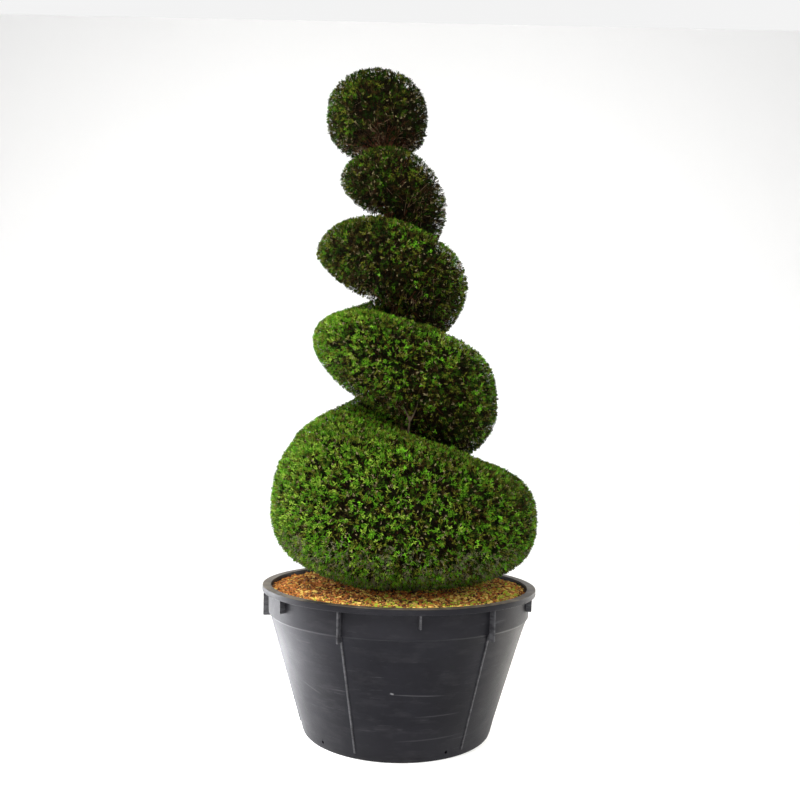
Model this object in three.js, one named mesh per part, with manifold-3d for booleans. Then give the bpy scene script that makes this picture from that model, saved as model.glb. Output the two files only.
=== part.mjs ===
// A clipped spiral topiary in a round nursery tub: a bun of foliage on the soil, a coil that climbs
// three turns round a leaning trunk, and a ball on top. Millimetres, +Z up. The origin is the centre
// of the tub's flat underside, and the front is -Y. Angles round the plant run from -Y towards +X.

import * as THREE from 'three';
import { mergeVertices } from 'three/addons/utils/BufferGeometryUtils.js';
import Module from 'manifold-3d';

const wasm = await Module();
wasm.setup();

// Clearance between pieces that touch.
const gap = 0.3;

const tub = {
  height: 597,
  rimRadius: 589,
  rimWidth: 36,
  skirtHeight: 22,
  plate: 6,
  wall: 10,
  collarHeight: 84,
  collarLean: 4,
  step: 7,
  footRadius: 402,
  footEdge: 10,
  rimEdge: 3,
  segments: 50,
};

const rib = {
  count: 12,
  firstAngle: -22.35,
  thickness: 8,
  shortHeight: 44,
  longHeight: 108,
  sunk: 4,
  ridgeWidth: 9,
  ridgeProud: 4,
  ridgeFoot: 24,
};

const drain = {
  count: 5,
  firstAngle: -44.4,
  height: 29,
  radius: 6,
};

const soil = {
  edgeHeight: 584,
  middleHeight: 591,
  middleRadius: 150,
};

const trunk = {
  footRadius: 34,
  tipRadius: 7,
  tipHeight: 2572,
  flare: 30,
  flareHeight: 24,
  lobes: 5,
  lobeDepth: 0.35,
  taperPower: 0.85,
  sides: 12,
  ringStep: 170,
  leanStart: 1200,
  lean: 0.0755,
};

// The foliage is one ribbon. Its place along the spiral is counted in turns from the right-hand side,
// round the front. The groove is the line on the trunk where one turn of the ribbon meets the next.
// Each quantity is a start at turn 0 with its change along the turns.
const spiral = {
  start: -0.25,
  coilStart: 0.75,
  end: 3.75,
  groove: { start: 1155, rise: 493, riseLoss: 21.4 },
  wobble: { size: 27.8, stillTurn: 0.9, phase: 0.039, ripple: 7.5, ripplePhase: -0.0435 },
  reach: { start: 572, loss: 160.5, ease: 17, swell: 64, swellTurn: 2.54, swellSpan: 0.454 },
  nose: { share: 0.681, loss: 0.0256, swing: 0.056, phase: 0.181 },
  topRoundness: { low: 2.54, high: 1.6, changeTurn: 2.6, changeSpan: 0.25 },
  bottomRoundness: { high: 1.42, extra: 3.2, fadeTurns: 0.335 },
  taper: { start: 3.45, depth: 0.9 },
  merge: { turns: 0.12, reach: 60, noseShare: 0.3, roundness: 2.6 },
};

const bun = {
  reach: 576.5,
  reachSwing: 14,
  noseHeight: 905,
  noseSwing: -34,
  bottom: 596,
  topRoundness: 2.41,
  bottomRoundness: 2.5,
  masses: 3,
};

const ball = {
  x: -147,
  radius: 236,
  middle: 2752,
  up: 187,
  down: 180,
  topRoundness: 2,
  underRoundness: 3.2,
  room: 2,
  stand: 10,
  sides: 12,
  stemTip: 5,
};

const coilMasses = 8;

// The core of a mass lies inside the clipped surface, and ends short of the trunk and of its neighbours.
// Its seams are in turns. The coil's first face stands clear of the bun's last one, which is bent.
const core = {
  standMin: 9,
  standRange: 11,
  innerShare: 0.18,
  innerMin: 40,
  seam: 0.0008,
  startSeam: 0.008,
  grooveRoom: 2,
  stepsPerTurn: 16,
  leastSteps: 4,
};

const spray = {
  sunk: 30,
  width: 0.72,
  thickness: 9,
  lean: 1.2,
  seamRoom: 3,
  trunkRoom: 12,
  attempts: 9,
  perBun: [7, 6],
  perCoil: [5, 5],
  perBall: [6, 7],
};

const bough = {
  radius: 17,
  rootShare: 0.7,
  tipShare: 0.6,
  sides: 7,
  stemLength: 80,
  twigs: 4,
  twigTip: 3,
  twigRise: 25,
};

// Materials.
const finishes = {
  plastic: { color: 0x2e3033, roughness: 0.55, metalness: 0 },
  mulch: { color: 0x87603c, roughness: 0.95, metalness: 0 },
  bark: { color: 0x5a3f2e, roughness: 0.9, metalness: 0 },
  yew: { color: 0x36411a, roughness: 0.8, metalness: 0 },
};

// A repeatable stream of numbers from 0 to 1.
function seeded(seed) {
  let state = seed;
  return () => {
    state = (state * 1664525 + 1013904223) % 4294967296;
    return state / 4294967296;
  };
}

// Closed solids -------------------------------------------------------------------------------

function toSolid(geometry) {
  const bare = geometry.clone();
  bare.deleteAttribute('normal');
  bare.deleteAttribute('uv');
  const merged = mergeVertices(bare, 1e-4);
  const index = Array.from(merged.index.array);
  const kept = [];
  for (let i = 0; i < index.length; i += 3) {
    const [a, b, c] = index.slice(i, i + 3);
    if (a !== b && b !== c && c !== a) {
      kept.push(a, b, c);
    }
  }
  return new wasm.Manifold(new wasm.Mesh({
    numProp: 3,
    vertProperties: Float32Array.from(merged.attributes.position.array),
    triVerts: Uint32Array.from(kept),
  }));
}

function toGeometry(solid) {
  const mesh = solid.getMesh();
  const geometry = new THREE.BufferGeometry();
  geometry.setAttribute('position', new THREE.BufferAttribute(Float32Array.from(mesh.vertProperties), 3));
  geometry.setIndex(Array.from(mesh.triVerts));
  geometry.computeVertexNormals();
  return geometry;
}

// Keeps the outer skin of the largest piece: loose scraps are dropped and sealed hollows filled.
function outerSkin(solid) {
  return solid.decompose().reduce((best, piece) => (piece.volume() > best.volume() ? piece : best));
}

function facetted(points, faces) {
  const geometry = new THREE.BufferGeometry();
  geometry.setAttribute('position', new THREE.Float32BufferAttribute(points.flat(), 3));
  geometry.setIndex(faces.flat());
  return toSolid(geometry);
}

// A skin over rings of equal count, each wound the same way, with a fan across both ends.
function loft(rings) {
  const count = rings[0].length;
  const faces = [];
  for (let k = 0; k + 1 < rings.length; k += 1) {
    for (let i = 0; i < count; i += 1) {
      const a = k * count + i;
      const b = k * count + (i + 1) % count;
      faces.push([a, b, b + count], [a, b + count, a + count]);
    }
  }
  const last = (rings.length - 1) * count;
  for (let i = 1; i + 1 < count; i += 1) {
    faces.push([0, i + 1, i], [last, last + i, last + i + 1]);
  }
  return facetted(rings.flat(), faces);
}

function revolve(profile) {
  const points = profile.map(([r, z]) => new THREE.Vector2(r, z));
  return toSolid(new THREE.LatheGeometry(points, tub.segments).rotateX(Math.PI / 2));
}

// A straight or bent limb: rings square to the path, with a radius for each point.
function limb(path, radii, sides) {
  const rings = path.map((point, k) => {
    const before = path[Math.max(k - 1, 0)];
    const after = path[Math.min(k + 1, path.length - 1)];
    const along = after.clone().sub(before).normalize();
    const side = new THREE.Vector3(0, 0, 1).cross(along).normalize();
    const up = along.clone().cross(side);
    return Array.from({ length: sides }, (_, i) => {
      const turn = (i / sides) * 2 * Math.PI;
      return point.clone()
        .addScaledVector(side, radii[k] * Math.cos(turn))
        .addScaledVector(up, radii[k] * Math.sin(turn))
        .toArray();
    });
  });
  return loft(rings);
}

// Tub and soil --------------------------------------------------------------------------------

const collarTop = tub.height - tub.plate;
const collarFoot = collarTop - tub.skirtHeight - tub.collarHeight;
const collarTopRadius = tub.rimRadius - tub.rimWidth + tub.wall;
const collarFootRadius = collarTopRadius - tub.collarLean;
const bodyTopRadius = collarFootRadius - tub.step;

// The wall from foot to rim as [radius, height] pairs, moved in or out by an offset.
function wallLine(offset) {
  return [
    [tub.footRadius + offset, tub.footEdge],
    [bodyTopRadius + offset, collarFoot - tub.step],
    [collarFootRadius + offset, collarFoot],
    [collarTopRadius + offset, collarTop],
  ];
}

function wallRadiusAt(height) {
  const line = wallLine(0);
  const k = line.findIndex(([, z]) => z >= height);
  const [[r0, z0], [r1, z1]] = [line[k - 1], line[k]];
  return r0 + ((r1 - r0) * (height - z0)) / (z1 - z0);
}

// A flat plate that stands out from the wall at an angle, cut to a [radius, height] outline.
function radialPlate(outline, thickness, angle) {
  const shape = new THREE.Shape(outline.map(([r, z]) => new THREE.Vector2(r, z)));
  const plate = new THREE.ExtrudeGeometry(shape, { depth: thickness, bevelEnabled: false });
  plate.translate(0, 0, -thickness / 2);
  plate.rotateX(Math.PI / 2);
  plate.rotateZ(THREE.MathUtils.degToRad(angle - 90));
  return toSolid(plate);
}

// A plate under the rim, square at its foot, from the wall out to the skirt.
function ribPlate(height, angle) {
  const edge = tub.rimRadius - tub.plate / 2;
  const foot = collarTop - tub.skirtHeight - height;
  const along = wallLine(-rib.sunk).filter(([, z]) => z > foot).reverse();
  return radialPlate([
    [wallRadiusAt(foot) - rib.sunk, foot],
    [edge, foot],
    [edge, collarTop + tub.plate / 2],
    ...along,
  ], rib.thickness, angle);
}

function bodyRidge(angle) {
  const low = rib.ridgeFoot;
  const high = collarFoot - tub.step;
  return radialPlate([
    [wallRadiusAt(low) - rib.sunk, low],
    [wallRadiusAt(low) + rib.ridgeProud, low],
    [wallRadiusAt(high) + rib.ridgeProud, high],
    [wallRadiusAt(high) - rib.sunk, high],
  ], rib.ridgeWidth, angle);
}

function drainHole(angle) {
  const bore = new THREE.CylinderGeometry(drain.radius, drain.radius, 6 * tub.wall, 8);
  bore.rotateZ(Math.PI / 2);
  bore.translate(wallRadiusAt(drain.height), 0, drain.height);
  bore.rotateZ(THREE.MathUtils.degToRad(angle - 90));
  return toSolid(bore);
}

function makeTub() {
  const skirtFoot = tub.height - tub.skirtHeight;
  const skirtInside = tub.rimRadius - tub.plate;
  let solid = revolve([
    [0, 0],
    [tub.footRadius - tub.footEdge / 2, 0],
    ...wallLine(0),
    [skirtInside, collarTop],
    [skirtInside, skirtFoot],
    [tub.rimRadius, skirtFoot],
    [tub.rimRadius, tub.height - tub.rimEdge],
    [tub.rimRadius - tub.rimEdge, tub.height],
    [tub.rimRadius - tub.rimWidth, tub.height],
    ...wallLine(-tub.wall).slice(1, 3).reverse(),
    [tub.footRadius - tub.wall, tub.wall],
    [0, tub.wall],
  ]);
  for (let k = 0; k < rib.count; k += 1) {
    const angle = rib.firstAngle + (k * 360) / rib.count;
    const long = k % 2 === 0;
    solid = solid.add(ribPlate(long ? rib.longHeight : rib.shortHeight, angle));
    if (long) {
      solid = solid.add(bodyRidge(angle));
    }
  }
  for (let k = 0; k < drain.count; k += 1) {
    solid = solid.subtract(drainHole(drain.firstAngle + (k * 360) / drain.count));
  }
  return solid;
}

function makeSoil() {
  const inside = -tub.wall - 2 * gap;
  const [, shoulder, collar] = wallLine(inside);
  return revolve([
    [0, tub.wall + gap],
    [tub.footRadius + inside, tub.wall + gap],
    shoulder,
    collar,
    [wallRadiusAt(soil.edgeHeight) + inside, soil.edgeHeight],
    [soil.middleRadius, soil.middleHeight],
    [0, soil.middleHeight],
  ]);
}

// Trunk ---------------------------------------------------------------------------------------

// How far the plant's axis has moved sideways at a height.
function leanAt(z) {
  return -trunk.lean * Math.max(0, z - trunk.leanStart);
}

function trunkRadius(z) {
  const left = (trunk.tipHeight - z) / (trunk.tipHeight - soil.middleHeight);
  return trunk.tipRadius + (trunk.footRadius - trunk.tipRadius) * Math.max(0, left) ** trunk.taperPower;
}

function makeTrunk(grow) {
  const foot = soil.middleHeight + gap;
  const flareRings = [0, 0.5, 1.25, 2.5, 5].map((share) => share * trunk.flareHeight);
  const heights = [...flareRings];
  const tip = trunk.tipHeight - foot;
  for (let up = 10 * trunk.flareHeight; up < tip - trunk.ringStep / 3; up += trunk.ringStep) {
    heights.push(up);
  }
  heights.push(tip + grow);
  const rings = heights.map((up) => {
    const z = foot + up;
    const flare = trunk.flare * Math.exp(-up / trunk.flareHeight);
    return Array.from({ length: trunk.sides }, (_, i) => {
      const turn = (i / trunk.sides) * 2 * Math.PI;
      const root = 1 + trunk.lobeDepth * Math.cos(trunk.lobes * turn);
      const r = trunkRadius(z) + flare * root + grow;
      return [leanAt(z) + r * Math.cos(turn), r * Math.sin(turn), z];
    });
  });
  return loft(rings);
}

// The ribbon of foliage -----------------------------------------------------------------------

function turned(turns) {
  return Math.sin(2 * Math.PI * turns);
}

function grooveAt(t) {
  const { groove, wobble } = spiral;
  const climb = groove.start + groove.rise * t - groove.riseLoss * t * t;
  const tilt = wobble.size * (t - wobble.stillTurn) * turned(t + wobble.phase);
  return climb + tilt + wobble.ripple * turned(2 * (t + wobble.ripplePhase));
}

// The ribbon narrows as it climbs, swells once in its third turn, and draws in under the ball.
function reachAt(t) {
  const { reach, taper } = spiral;
  const swell = reach.swell * Math.exp(-(((t - reach.swellTurn) / reach.swellSpan) ** 2));
  const past = Math.max(0, t - taper.start) / (spiral.end - taper.start);
  return (reach.start - reach.loss * t + reach.ease * t * t + swell) * Math.sqrt(1 - taper.depth * past * past);
}

// Behind the trunk the coil leaves the bun: the groove between them starts shallow and soon deepens.
function mergeAt(turnsOn) {
  return Math.exp(-Math.max(0, turnsOn) / spiral.merge.turns);
}

// The ribbon's section at a place along it: its reach, its nose, and where it meets the trunk.
function sectionAt(t, isBun) {
  const { merge } = spiral;
  if (isBun) {
    const side = Math.cos(2 * Math.PI * t);
    return {
      reach: bun.reach + bun.reachSwing * side,
      nose: bun.noseHeight + bun.noseSwing * side,
      top: grooveAt(t) - core.grooveRoom,
      bottom: bun.bottom,
      topRoundness: bun.topRoundness + merge.roundness * mergeAt(t - spiral.start),
      bottomRoundness: bun.bottomRoundness,
    };
  }
  const { nose, topRoundness, bottomRoundness } = spiral;
  const bottom = grooveAt(t - 1) + core.grooveRoom;
  const top = Math.min(grooveAt(t) - core.grooveRoom, ball.middle - ball.down - ball.room);
  const merged = mergeAt(t - spiral.coilStart);
  const swing = nose.swing * turned(t + nose.phase);
  const noseShare = nose.share - nose.loss * t + swing - merge.noseShare * merged;
  const change = 1 / (1 + Math.exp((topRoundness.changeTurn - t) / topRoundness.changeSpan));
  const fade = Math.exp((spiral.coilStart - t) / bottomRoundness.fadeTurns);
  return {
    reach: reachAt(t) + merge.reach * merged,
    nose: bottom + noseShare * (top - bottom),
    top,
    bottom,
    topRoundness: topRoundness.low + (topRoundness.high - topRoundness.low) * change,
    bottomRoundness: bottomRoundness.high + bottomRoundness.extra * fade,
  };
}

// How far the core lies inside the clipped surface.
function standAt(section) {
  return core.standMin + core.standRange * (section.reach / bun.reach);
}

function shrink(section, by) {
  return {
    ...section,
    reach: section.reach - by,
    top: section.top - by,
    bottom: section.bottom + by,
  };
}

function innerRadius(section) {
  return Math.max(core.innerMin, core.innerShare * section.reach);
}

function topOf(section, r) {
  const n = section.topRoundness;
  const share = Math.max(0, 1 - (r / section.reach) ** n) ** (1 / n);
  return section.nose + (section.top - section.nose) * share;
}

function bottomOf(section, r) {
  const n = section.bottomRoundness;
  const share = Math.max(0, 1 - (r / section.reach) ** n) ** (1 / n);
  return section.nose - (section.nose - section.bottom) * share;
}

// A point at turn t, r from the plant's axis, at height z.
function place(t, r, z) {
  const angle = Math.PI / 2 - 2 * Math.PI * t;
  return new THREE.Vector3(leanAt(z) + r * Math.sin(angle), -r * Math.cos(angle), z);
}

// The outline of a section from the trunk side out under the nose and back over the top.
const lowerSteps = [0, 0.45, 0.8, 0.96];
const upperSteps = [1, 0.93, 0.72, 0.36, 0];

function sectionRing(t, section) {
  const inner = innerRadius(section);
  const out = (share) => inner + (section.reach - inner) * share;
  const under = lowerSteps.map((s) => place(t, out(s), bottomOf(section, out(s))));
  const over = upperSteps.map((s) => place(t, out(s), topOf(section, out(s))));
  return [...under, ...over].map((point) => point.toArray());
}

function makeCore(mass) {
  const steps = Math.max(core.leastSteps, Math.round((mass.to - mass.from) * core.stepsPerTurn));
  const rings = [];
  for (let k = 0; k <= steps; k += 1) {
    const from = mass.from + mass.startSeam;
    const t = from + ((mass.to - core.seam - from) * k) / steps;
    const section = sectionAt(t, mass.isBun);
    rings.push(sectionRing(t, shrink(section, standAt(section))));
  }
  return loft(rings);
}

// True where a point lies inside a mass's own space.
function inMass(mass, point) {
  const r = Math.hypot(point.x - leanAt(point.z), point.y);
  const angle = Math.atan2(point.x - leanAt(point.z), -point.y);
  const middle = (mass.from + mass.to) / 2;
  const raw = (Math.PI / 2 - angle) / (2 * Math.PI);
  const t = raw + Math.round(middle - raw);
  const section = sectionAt(t, mass.isBun);
  const clearOfSeams = Math.min(t - mass.from, mass.to - t) * 2 * Math.PI * r > spray.seamRoom;
  const clearOfTrunk = r > trunkRadius(point.z) + spray.trunkRoom;
  const within = r < section.reach && point.z < topOf(section, r) && point.z > bottomOf(section, r);
  return clearOfSeams && clearOfTrunk && within;
}

function inBall(point) {
  const across = Math.hypot(point.x - ball.x, point.y) / ball.radius;
  const up = point.z - ball.middle;
  const n = up > 0 ? ball.topRoundness : ball.underRoundness;
  return across ** n + Math.abs(up / (up > 0 ? ball.up : ball.down)) ** n < 1;
}

// Sprays --------------------------------------------------------------------------------------

// A spray of needles as a toothed blade: a tip and a side tooth on each edge round a thicker middle.
function bladePoints(root, along, across, length) {
  const thick = along.clone().cross(across).normalize();
  const at = (l, w, d) => root.clone()
    .addScaledVector(along, l * length)
    .addScaledVector(across, w * length * spray.width)
    .addScaledVector(thick, d);
  const outline = [
    at(0, 0.16, 0),
    at(0.72, 1, 0),
    at(0.66, 0.42, 0),
    at(1, 0.1, 0),
    at(0.74, -0.36, 0),
    at(0.84, -0.9, 0),
    at(0, -0.16, 0),
  ];
  const faces = [at(0.5, 0, spray.thickness / 2), at(0.5, 0, -spray.thickness / 2)];
  return { outline, faces };
}

function bladeSolid({ outline, faces }) {
  const count = outline.length;
  const triangles = [];
  for (let i = 0; i < count; i += 1) {
    const next = (i + 1) % count;
    triangles.push([i, count, next], [i, next, count + 1]);
  }
  return facetted([...outline, ...faces].map((point) => point.toArray()), triangles);
}

// A blade that stands out of the core at a point, its root well sunk, its tip at the clipped surface.
function growSpray(surface, outward, stand, random) {
  const wander = new THREE.Vector3(random() - 0.5, random() - 0.5, random() - 0.5);
  const along = outward.clone().addScaledVector(wander, spray.lean).normalize();
  const across = new THREE.Vector3().crossVectors(along, wander.add(new THREE.Vector3(0.3, 0, 0.9)));
  const reach = (stand / along.dot(outward)) * (0.82 + 0.16 * random());
  const root = surface.clone().addScaledVector(along, -spray.sunk);
  return bladePoints(root, along, across.normalize(), spray.sunk + reach);
}

function addSprays(solid, spots, inside, random) {
  let grown = solid;
  for (const { surface, outward, stand } of spots) {
    for (let attempt = 0; attempt < spray.attempts; attempt += 1) {
      const blade = growSpray(surface, outward, stand, random);
      if (blade.outline.slice(1, -1).every(inside)) {
        grown = grown.add(bladeSolid(blade));
        break;
      }
    }
  }
  return outerSkin(grown);
}

// Evenly scattered places on the core of a ribbon mass, from under the nose to the top.
function ribbonSpots(mass, [columns, rows], random) {
  const spots = [];
  for (let i = 0; i < columns; i += 1) {
    for (let j = 0; j < rows; j += 1) {
      const shift = 0.5 * (j % 2);
      const share = (i + 0.25 + shift + 0.3 * (random() - 0.5)) / columns;
      const t = mass.from + (mass.to - mass.from) * Math.min(0.95, Math.max(0.05, share));
      const whole = sectionAt(t, mass.isBun);
      const stand = standAt(whole);
      const section = shrink(whole, stand);
      const turn = (-0.4 + (0.86 * (j + 0.5 + 0.4 * (random() - 0.5))) / rows) * Math.PI;
      const r = Math.max(innerRadius(section), section.reach * Math.cos(turn) ** 0.8);
      const z = turn > 0 ? topOf(section, r) : bottomOf(section, r);
      const rise = turn > 0 ? section.top - section.nose : section.nose - section.bottom;
      const surface = place(t, r, z);
      const outward = place(t, r + rise * Math.cos(turn), z + section.reach * Math.sin(turn))
        .sub(surface).normalize();
      spots.push({ surface, outward, stand });
    }
  }
  return spots;
}

// Boughs and masses ---------------------------------------------------------------------------

// The bough of a mass leaves the trunk low and rises to the inner wall of the mass's core.
function boughPath(mass) {
  const t = (mass.from + mass.to) / 2;
  const section = shrink(sectionAt(t, mass.isBun), standAt(sectionAt(t, mass.isBun)));
  const inner = innerRadius(section);
  const tipHeight = bottomOf(section, inner) + 0.22 * (topOf(section, inner) - bottomOf(section, inner));
  const tip = place(t, inner - 14, tipHeight);
  const root = place(t, 0, tipHeight - 0.62 * inner - 12);
  const middle = root.clone().lerp(tip, 0.55).add(new THREE.Vector3(0, 0, -0.05 * inner));
  return [root, middle, tip];
}

// A bough is never thicker than the trunk it leaves.
function boughRadii(mass) {
  const root = Math.min(bough.radius, bough.rootShare * trunkRadius(boughPath(mass)[0].z));
  return [root, root * (1 + bough.tipShare) / 2, root * bough.tipShare];
}

function makeBough(mass, trunkRoom) {
  const whole = limb(boughPath(mass), boughRadii(mass), bough.sides);
  return outerSkin(whole.subtract(trunkRoom));
}

// The stem goes on from the bough's tip into the core, and thin twigs fan out from it under the core.
function makeStem(mass, random) {
  const [, middle, tip] = boughPath(mass);
  const [, , radius] = boughRadii(mass);
  const along = tip.clone().sub(middle).normalize();
  const start = tip.clone().addScaledVector(along, gap);
  const end = start.clone().addScaledVector(along, bough.stemLength);
  let solid = limb([start, end], [radius, bough.tipShare * radius], bough.sides);
  for (let k = 0; k < bough.twigs; k += 1) {
    const share = (k + 0.5) / bough.twigs + 0.1 * (random() - 0.5);
    const t = mass.from + (mass.to - mass.from) * (0.12 + 0.76 * share);
    const whole = sectionAt(t, mass.isBun);
    const section = shrink(whole, standAt(whole));
    const r = section.reach * (0.5 + 0.2 * random());
    const twigEnd = place(t, r, bottomOf(section, r) + bough.twigRise);
    const twigStart = start.clone().addScaledVector(along, bough.stemLength / 10);
    solid = solid.add(limb([twigStart, twigEnd], [0.6 * radius, bough.twigTip], 3));
  }
  return solid;
}

function makeRibbonMass(mass) {
  const random = seeded(mass.seed);
  const grid = mass.isBun ? spray.perBun : spray.perCoil;
  const wood = makeCore(mass).add(makeStem(mass, random));
  return addSprays(wood, ribbonSpots(mass, grid, random), (point) => inMass(mass, point), random);
}

// A point of the ball's core: an angle round it, and a turn from its foot at -90 degrees to its top.
function ballPoint(angle, turn) {
  const power = 2 / (turn > 0 ? ball.topRoundness : ball.underRoundness);
  const wide = (ball.radius - ball.stand) * Math.cos(turn) ** power;
  const up = ((turn > 0 ? ball.up : ball.down) - ball.stand) * Math.abs(Math.sin(turn)) ** power;
  return new THREE.Vector3(
    ball.x + wide * Math.cos(angle),
    wide * Math.sin(angle),
    ball.middle + Math.sign(turn) * up,
  );
}

// The ball: an egg-shaped core on a stem that meets the trunk's tip, with sprays all round.
function makeBall(trunkRoom) {
  const random = seeded(77);
  const { stand, sides } = ball;
  const [columns, rows] = spray.perBall;
  const rings = [];
  for (let j = 1; j < rows; j += 1) {
    const turn = -Math.PI / 2 + (Math.PI * j) / rows;
    rings.push(Array.from({ length: sides }, (_, i) => (
      ballPoint((i / sides) * 2 * Math.PI, turn).toArray()
    )));
  }
  const foot = new THREE.Vector3(leanAt(trunk.tipHeight), 0, trunk.tipHeight - trunk.tipRadius);
  const heart = new THREE.Vector3(ball.x, 0.5, ball.middle);
  const stem = limb([foot, heart], [trunk.tipRadius, ball.stemTip], bough.sides);
  const spots = [];
  for (let j = 0; j < rows; j += 1) {
    const turn = -Math.PI / 2 + (Math.PI * (j + 0.5)) / rows;
    const count = Math.max(3, Math.round(columns * 1.25 * Math.cos(turn)));
    for (let i = 0; i < count; i += 1) {
      const angle = ((i + 0.5 * (j % 2) + 0.3 * (random() - 0.5)) / count) * 2 * Math.PI;
      const outward = new THREE.Vector3(
        Math.cos(angle) * Math.cos(turn),
        Math.sin(angle) * Math.cos(turn),
        Math.sin(turn),
      );
      spots.push({ surface: ballPoint(angle, turn), outward, stand });
    }
  }
  const wood = loft(rings).add(stem).subtract(trunkRoom);
  return addSprays(wood, spots, inBall, random);
}

// Assembly ------------------------------------------------------------------------------------

function listMasses() {
  const masses = [];
  const bunTurn = (spiral.coilStart - spiral.start) / bun.masses;
  const coilTurn = (spiral.end - spiral.coilStart) / coilMasses;
  for (let k = 0; k < bun.masses; k += 1) {
    const from = spiral.start + k * bunTurn;
    const name = `bun_${k + 1}`;
    masses.push({ name, isBun: true, from, to: from + bunTurn, startSeam: core.seam, seed: 11 + k });
  }
  for (let k = 0; k < coilMasses; k += 1) {
    const from = spiral.coilStart + k * coilTurn;
    const name = `coil_${k + 1}`;
    const startSeam = k === 0 ? core.startSeam : core.seam;
    masses.push({ name, isBun: false, from, to: from + coilTurn, startSeam, seed: 31 + k });
  }
  return masses;
}

const topiary = new THREE.Group();

function addPiece(name, solid, finish) {
  const mesh = new THREE.Mesh(toGeometry(solid), new THREE.MeshStandardMaterial(finishes[finish]));
  mesh.name = name;
  topiary.add(mesh);
}

addPiece('tub', makeTub(), 'plastic');
addPiece('soil', makeSoil(), 'mulch');
addPiece('trunk', makeTrunk(0), 'bark');

const trunkRoom = makeTrunk(gap);
for (const mass of listMasses()) {
  addPiece(`bough_${mass.name}`, makeBough(mass, trunkRoom), 'bark');
  addPiece(`foliage_${mass.name}`, makeRibbonMass(mass), 'yew');
}
addPiece('foliage_ball', makeBall(trunkRoom), 'yew');

export default topiary;
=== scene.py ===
import random
from math import ceil, copysign, cos, exp, hypot, pi, radians, sin, sqrt

import bmesh
import bpy
import numpy as np
from mathutils import Matrix, Vector, noise


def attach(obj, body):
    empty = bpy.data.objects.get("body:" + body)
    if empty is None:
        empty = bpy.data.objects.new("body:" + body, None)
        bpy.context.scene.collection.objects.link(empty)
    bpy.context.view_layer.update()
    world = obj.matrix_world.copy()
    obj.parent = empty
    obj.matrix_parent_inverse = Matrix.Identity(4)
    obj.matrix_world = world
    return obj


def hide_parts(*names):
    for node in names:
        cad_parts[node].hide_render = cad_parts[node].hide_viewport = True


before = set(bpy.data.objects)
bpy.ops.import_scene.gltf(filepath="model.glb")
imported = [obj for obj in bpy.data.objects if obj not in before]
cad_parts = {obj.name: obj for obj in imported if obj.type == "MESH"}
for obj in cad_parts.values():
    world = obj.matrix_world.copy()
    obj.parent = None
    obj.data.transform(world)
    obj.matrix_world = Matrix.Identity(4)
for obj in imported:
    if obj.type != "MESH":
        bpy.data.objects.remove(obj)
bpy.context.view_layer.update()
scene = bpy.context.scene
scene.view_settings.view_transform = "Standard"
print("frame loaded")


# nodes and sockets

def operator(operation):
    return lambda first, second: first.graph.maths(operation, first, second)


class Wire:
    # an output socket that joins in ordinary arithmetic
    __add__ = __radd__ = operator("ADD")
    __mul__ = __rmul__ = operator("MULTIPLY")
    __sub__ = operator("SUBTRACT")
    __gt__ = operator("GREATER_THAN")
    __lt__ = operator("LESS_THAN")

    def __init__(self, graph, socket):
        self.graph = graph
        self.socket = socket


class Graph:
    # a node tree, for materials and for geometry alike
    def __init__(self, tree):
        self.tree = tree

    def feed(self, node, inputs):
        # links or sets the sockets of a node
        for name, value in inputs.items():
            if isinstance(value, Wire):
                self.tree.links.new(value.socket, node.inputs[name])
            else:
                node.inputs[name].default_value = value

    def node(self, kind, settings, inputs, out=0):
        made = self.tree.nodes.new(kind)
        for name, value in settings.items():
            setattr(made, name, value)
        self.feed(made, inputs)
        return Wire(self, made.outputs[out])

    def position(self):
        return self.node("ShaderNodeTexCoord", {}, {}, out=3)

    def part(self, vector, axis):
        return self.node("ShaderNodeSeparateXYZ", {}, {"Vector": vector}, out=axis)

    def ramp(self, value, stops):
        made = self.node("ShaderNodeValToRGB", {}, {"Fac": value})
        elements = made.socket.node.color_ramp.elements
        while len(elements) < len(stops):
            elements.new(0.5)
        for element, (place, colour) in zip(elements, stops):
            element.position = place
            element.color = (*colour, 1)
        return made

    def maths(self, operation, first, second):
        return self.node("ShaderNodeMath", {"operation": operation}, {0: first, 1: second})

    def clamp(self, value, low=0.0, high=1.0):
        return self.node("ShaderNodeMapRange", {}, {
            "Value": value, "From Min": low, "From Max": high, "To Min": 0.0, "To Max": 1.0})

    def speckle(self, position, scale, detail=3.0, roughness=0.55):
        return self.node("ShaderNodeTexNoise", {}, {
            "Vector": position, "Scale": scale, "Detail": detail, "Roughness": roughness})

    def blend(self, factor, first, second):
        # first and second are wires or plain colours
        ends = [end if isinstance(end, Wire) else (*end, 1) for end in (first, second)]
        return self.node("ShaderNodeMix", {"data_type": "RGBA"}, {
            "Factor": factor, 6: ends[0], 7: ends[1]}, out=2)

    def stretched(self, position, scale):
        return self.node("ShaderNodeMapping", {}, {"Vector": position, "Scale": scale})

    def bump(self, height, strength, distance):
        return self.node("ShaderNodeBump", {}, {
            "Height": height, "Strength": strength, "Distance": distance})


def makeMaterial(name, specular, surface):
    # surface takes the graph and gives the values or wires of the shader's sockets
    material = bpy.data.materials.new(name)
    material.use_nodes = True
    graph = Graph(material.node_tree)
    shader = material.node_tree.nodes["Principled BSDF"]
    graph.feed(shader, {"Specular IOR Level": specular, **surface(graph)})
    return material


def plainMaterial(name, colour, roughness, specular):
    return makeMaterial(name, specular, lambda graph: {"Base Color": (*colour, 1), "Roughness": roughness})


# meshes and pieces

def addObject(name, data):
    made = bpy.data.objects.new(name, data)
    scene.collection.objects.link(made)
    return made


def meshPiece(name, points, faces, smooth=False):
    mesh = bpy.data.meshes.new(name)
    mesh.from_pydata([tuple(p) for p in points], [], faces)
    mesh.update()
    mesh.shade_smooth() if smooth else mesh.shade_flat()
    return addObject(name, mesh)


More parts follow.
